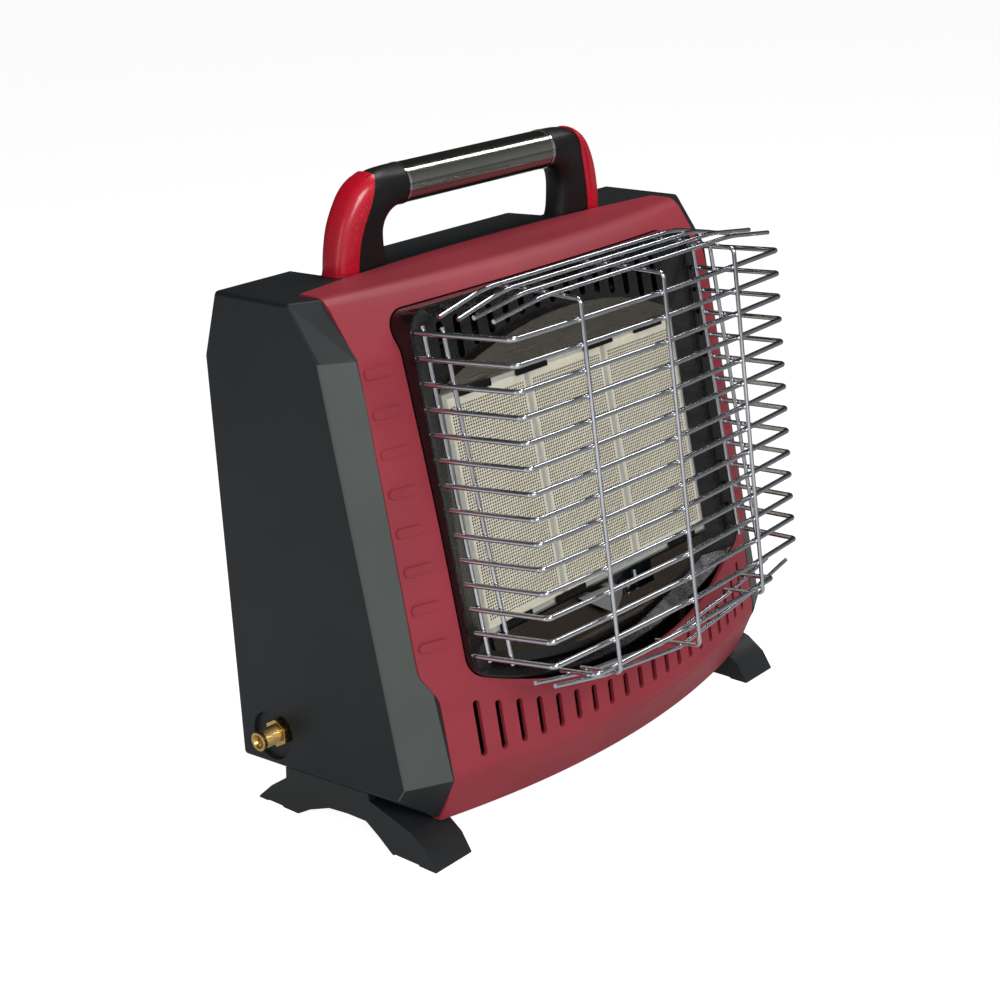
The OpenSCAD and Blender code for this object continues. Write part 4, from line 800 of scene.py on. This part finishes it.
def cap_rings(side, rows):
    """Rings of the cap: lip and raised face on one side and on the other."""
    rings = []
    for row in rows:
        reach = ring_reach(row)
        seam = seam_on(row)
        if seam > reach - CAP_LEAST:
            break
        lip = min(seam + CAP_LIP, reach)
        face = min(lip + CAP_STEP, reach + CAP_EDGE)
        edge = arm_arc(row, CAP_LOW, seam, lip, LIP_POINTS)
        top = arm_arc(row, CAP_HIGH, face, reach + CAP_HIGH, FACE_POINTS)
        u, v, *where = flipped(top)
        rings.append(arm_points(side, [edge, top, (u[1:], v[1:], *where), flipped(edge)]))
    return rings


def make_arms(finish):
    """Both arms and the caps over them."""
    rows = arm_rows()
    for side, word in ((-1, "left"), (1, "right")):
        skins = {"arm": [arm_ring(side, row) for row in rows], "cap": cap_rings(side, rows)}
        for kind, rings in skins.items():
            name = kind + "_" + word
            node = "handle_" + name
            mesh = faced_outwards(ring_mesh(name, np.array(rings), caps=True), 38)
            add(name, mesh, finish[kind], nodes=[node])


# ---------- dressing of the CAD nodes ----------
# node: finish, rounding of its edges in mm, least angle of a rounded edge in degrees
DRESSED = {
    "housing": ("case", 0.5, 40),
    "front_bezel": ("bezel", 0.45, 40),
    "window_frame": ("enamel", 0.3, 40),
    "foot_left": ("foot", 0.8, 30),
    "foot_right": ("foot", 0.8, 30),
    "plaque_clips": ("clip", 0.25, 40),
    "back_panel": ("panel", 0.2, 40),
    "control_knob": ("knob", 0.4, 30),
}
# finish: the nodes that are shown as they are
FINISHED = {
    "screw": ("back_screws", "bezel_screws", "box_screws", "handle_screws", "foot_screws"),
    "reflector": ("upper_reflector",),
    "bowl": ("lower_reflector",),
    "sheet": ("burner_box", "heat_shield", "mixer_tube"),
    "gasket": ("plaque_gasket",),
    "brass": ("injector", "inlet_nut"),
    "copper": ("burner_pipe", "supply_pipe"),
    "cast": ("valve_body", "valve_bonnet"),
    "stem": ("stem_collar", "valve_stem", "pilot_burner", "thermocouple"),
    "switch": ("igniter_body", "igniter_nut", "tilt_switch"),
    "button": ("igniter_button",),
    "lead": ("ignition_lead",),
    "bracket": ("pilot_bracket",),
    "cowl": ("pilot_shield",),
    "pilot_pipe": ("pilot_pipe",),
    "white_ceramic": ("spark_electrode",),
    "tube": ("handle_sleeve",),
    "core": ("handle_core",),
    "ring": ("handle_rings",),
    "chrome": (
        "guard_crossbars", "guard_end_bars", "guard_low_bar", "guard_front_uprights",
        "guard_side_uprights", "guard_top_bars", "guard_bottom_bars",
    ),
}


def dress_nodes(finish):
    """Softens the moulded and pressed nodes and gives all the others their materials."""
    for node, (key, width, angle) in DRESSED.items():
        piece = dress(node, finish[key], width, angle)
        if node == "housing":
            paint_strip_sheen(piece, finish["strip"])
    for key, nodes in FINISHED.items():
        for node in nodes:
            finish_node(node, finish[key])


# ---------- studio ----------
LIT_POINT = (0.0, 0.0, 0.18)                        # m
# name: place and size in metres, power in watts
LIGHTS = {
    "key": ((-0.8, -2.0, 1.4), (1.0, 1.0), 30),
    "side": ((-2.4, -0.2, 0.7), (0.5, 1.4), 4),
    "top": ((0.7, -0.1, 2.2), (1.0, 0.5), 17),
    "streak": ((1.4, -0.35, 1.68), (0.24, 0.6), 5),           # mirrored along the handle's tube
}
BRIGHT_SIDE = Vector((-0.5, -0.72, -0.48)).normalized()    # where the room is brightest
ROOM_SEEN, ROOM_DARK, ROOM_BRIGHT = 1.0, 0.03, 0.55
ROOM_START, ROOM_END = -0.6, 0.8                    # cosine to it where brightening starts and ends
FLOOR_SEEN, FLOOR_GLOW = 0.93, 0.08                 # light of the floor itself: to the camera, to the rest
FLOOR_REACH = 6.0                                   # m
FLOOR_PALE, FLOOR_DARK = (0.85, 0.85, 0.86, 1.0), (0.2, 0.2, 0.2, 1.0)
FLOOR_FADE = 0.5                                    # m, from this far left to this far right


def make_light(name, place, size, power):
    """A rectangular lamp that faces the heater."""
    data = bpy.data.lights.new(name, "AREA")
    data.shape = "RECTANGLE"
    data.size, data.size_y = size
    data.energy = power
    light = bpy.data.objects.new(name, data)
    light.location = place
    light.rotation_euler = (Vector(LIT_POINT) - Vector(place)).to_track_quat("-Z", "Y").to_euler()
    bpy.context.scene.collection.objects.link(light)


def seen_and_lit(tree, shader, seen):
    """Sets the shader's strength where the camera looks at it; returns the socket for all other light."""
    path = tree.nodes.new("ShaderNodeLightPath")
    mix = tree.nodes.new("ShaderNodeMix")
    tree.links.new(path.outputs["Is Camera Ray"], mix.inputs["Factor"])
    mix.inputs["B"].default_value = seen
    tree.links.new(mix.outputs["Result"], shader.inputs["Strength"])
    return mix.inputs["A"]


def make_world():
    """Pale room: brightest low at the front left, dark behind and to the right, white to the camera."""
    world = bpy.data.worlds.new("studio")
    bpy.context.scene.world = world
    world.use_nodes = True
    tree = world.node_tree
    shader = tree.nodes["Background"]
    shader.inputs["Color"].default_value = (1.0, 1.0, 1.0, 1.0)
    place = tree.nodes.new("ShaderNodeTexCoord")
    towards = tree.nodes.new("ShaderNodeVectorMath")
    towards.operation = "DOT_PRODUCT"
    tree.links.new(place.outputs["Generated"], towards.inputs[0])
    towards.inputs[1].default_value = BRIGHT_SIDE
    ramp = tree.nodes.new("ShaderNodeMapRange")
    ramp.inputs["From Min"].default_value = ROOM_START
    ramp.inputs["From Max"].default_value = ROOM_END
    ramp.inputs["To Min"].default_value = ROOM_DARK
    ramp.inputs["To Max"].default_value = ROOM_BRIGHT
    tree.links.new(towards.outputs["Value"], ramp.inputs["Value"])
    tree.links.new(ramp.outputs["Result"], seen_and_lit(tree, shader, ROOM_SEEN))


def make_floor():
    """A plain floor, pale at the left and darker to the right in what shines off it."""
    r = FLOOR_REACH
    mesh = bpy.data.meshes.new("floor")
    mesh.from_pydata([(-r, -r, 0), (r, -r, 0), (r, r, 0), (-r, r, 0)], [], [(0, 1, 2, 3)])
    floor = bpy.data.objects.new("floor", mesh)
    paint = Finish("floor_paint", Roughness=0.7, Specular_IOR_Level=0.1)
    apart = paint.node("ShaderNodeSeparateXYZ")
    paint.link(paint.place, apart.inputs["Vector"])
    fade = paint.spread(apart.outputs["X"], 0.0, 1.0, -FLOOR_FADE, FLOOR_FADE)
    paint.colour(paint.tint(fade, FLOOR_PALE, FLOOR_DARK))
    glow = paint.node("ShaderNodeEmission")
    seen_and_lit(paint.tree, glow, FLOOR_SEEN).default_value = FLOOR_GLOW
    both = paint.node("ShaderNodeAddShader")
    paint.link(paint.shader.outputs["BSDF"], both.inputs[0])
    paint.link(glow.outputs["Emission"], both.inputs[1])
    paint.link(both.outputs["Shader"], paint.tree.nodes["Material Output"].inputs["Surface"])
    mesh.materials.append(paint.material)
    bpy.context.scene.collection.objects.link(floor)


def make_studio():
    bpy.context.scene.view_settings.view_transform = "Standard"
    make_world()
    for name, (place, size, power) in LIGHTS.items():
        make_light(name, place, size, power)
    make_floor()


def main():
    make_camera()
    finish = make_finishes()
    make_plaques(finish)
    make_inlet(finish)
    make_welds(finish)
    make_seam_lip(finish)
    make_arms(finish)
    dress_nodes(finish)
    make_studio()


main()
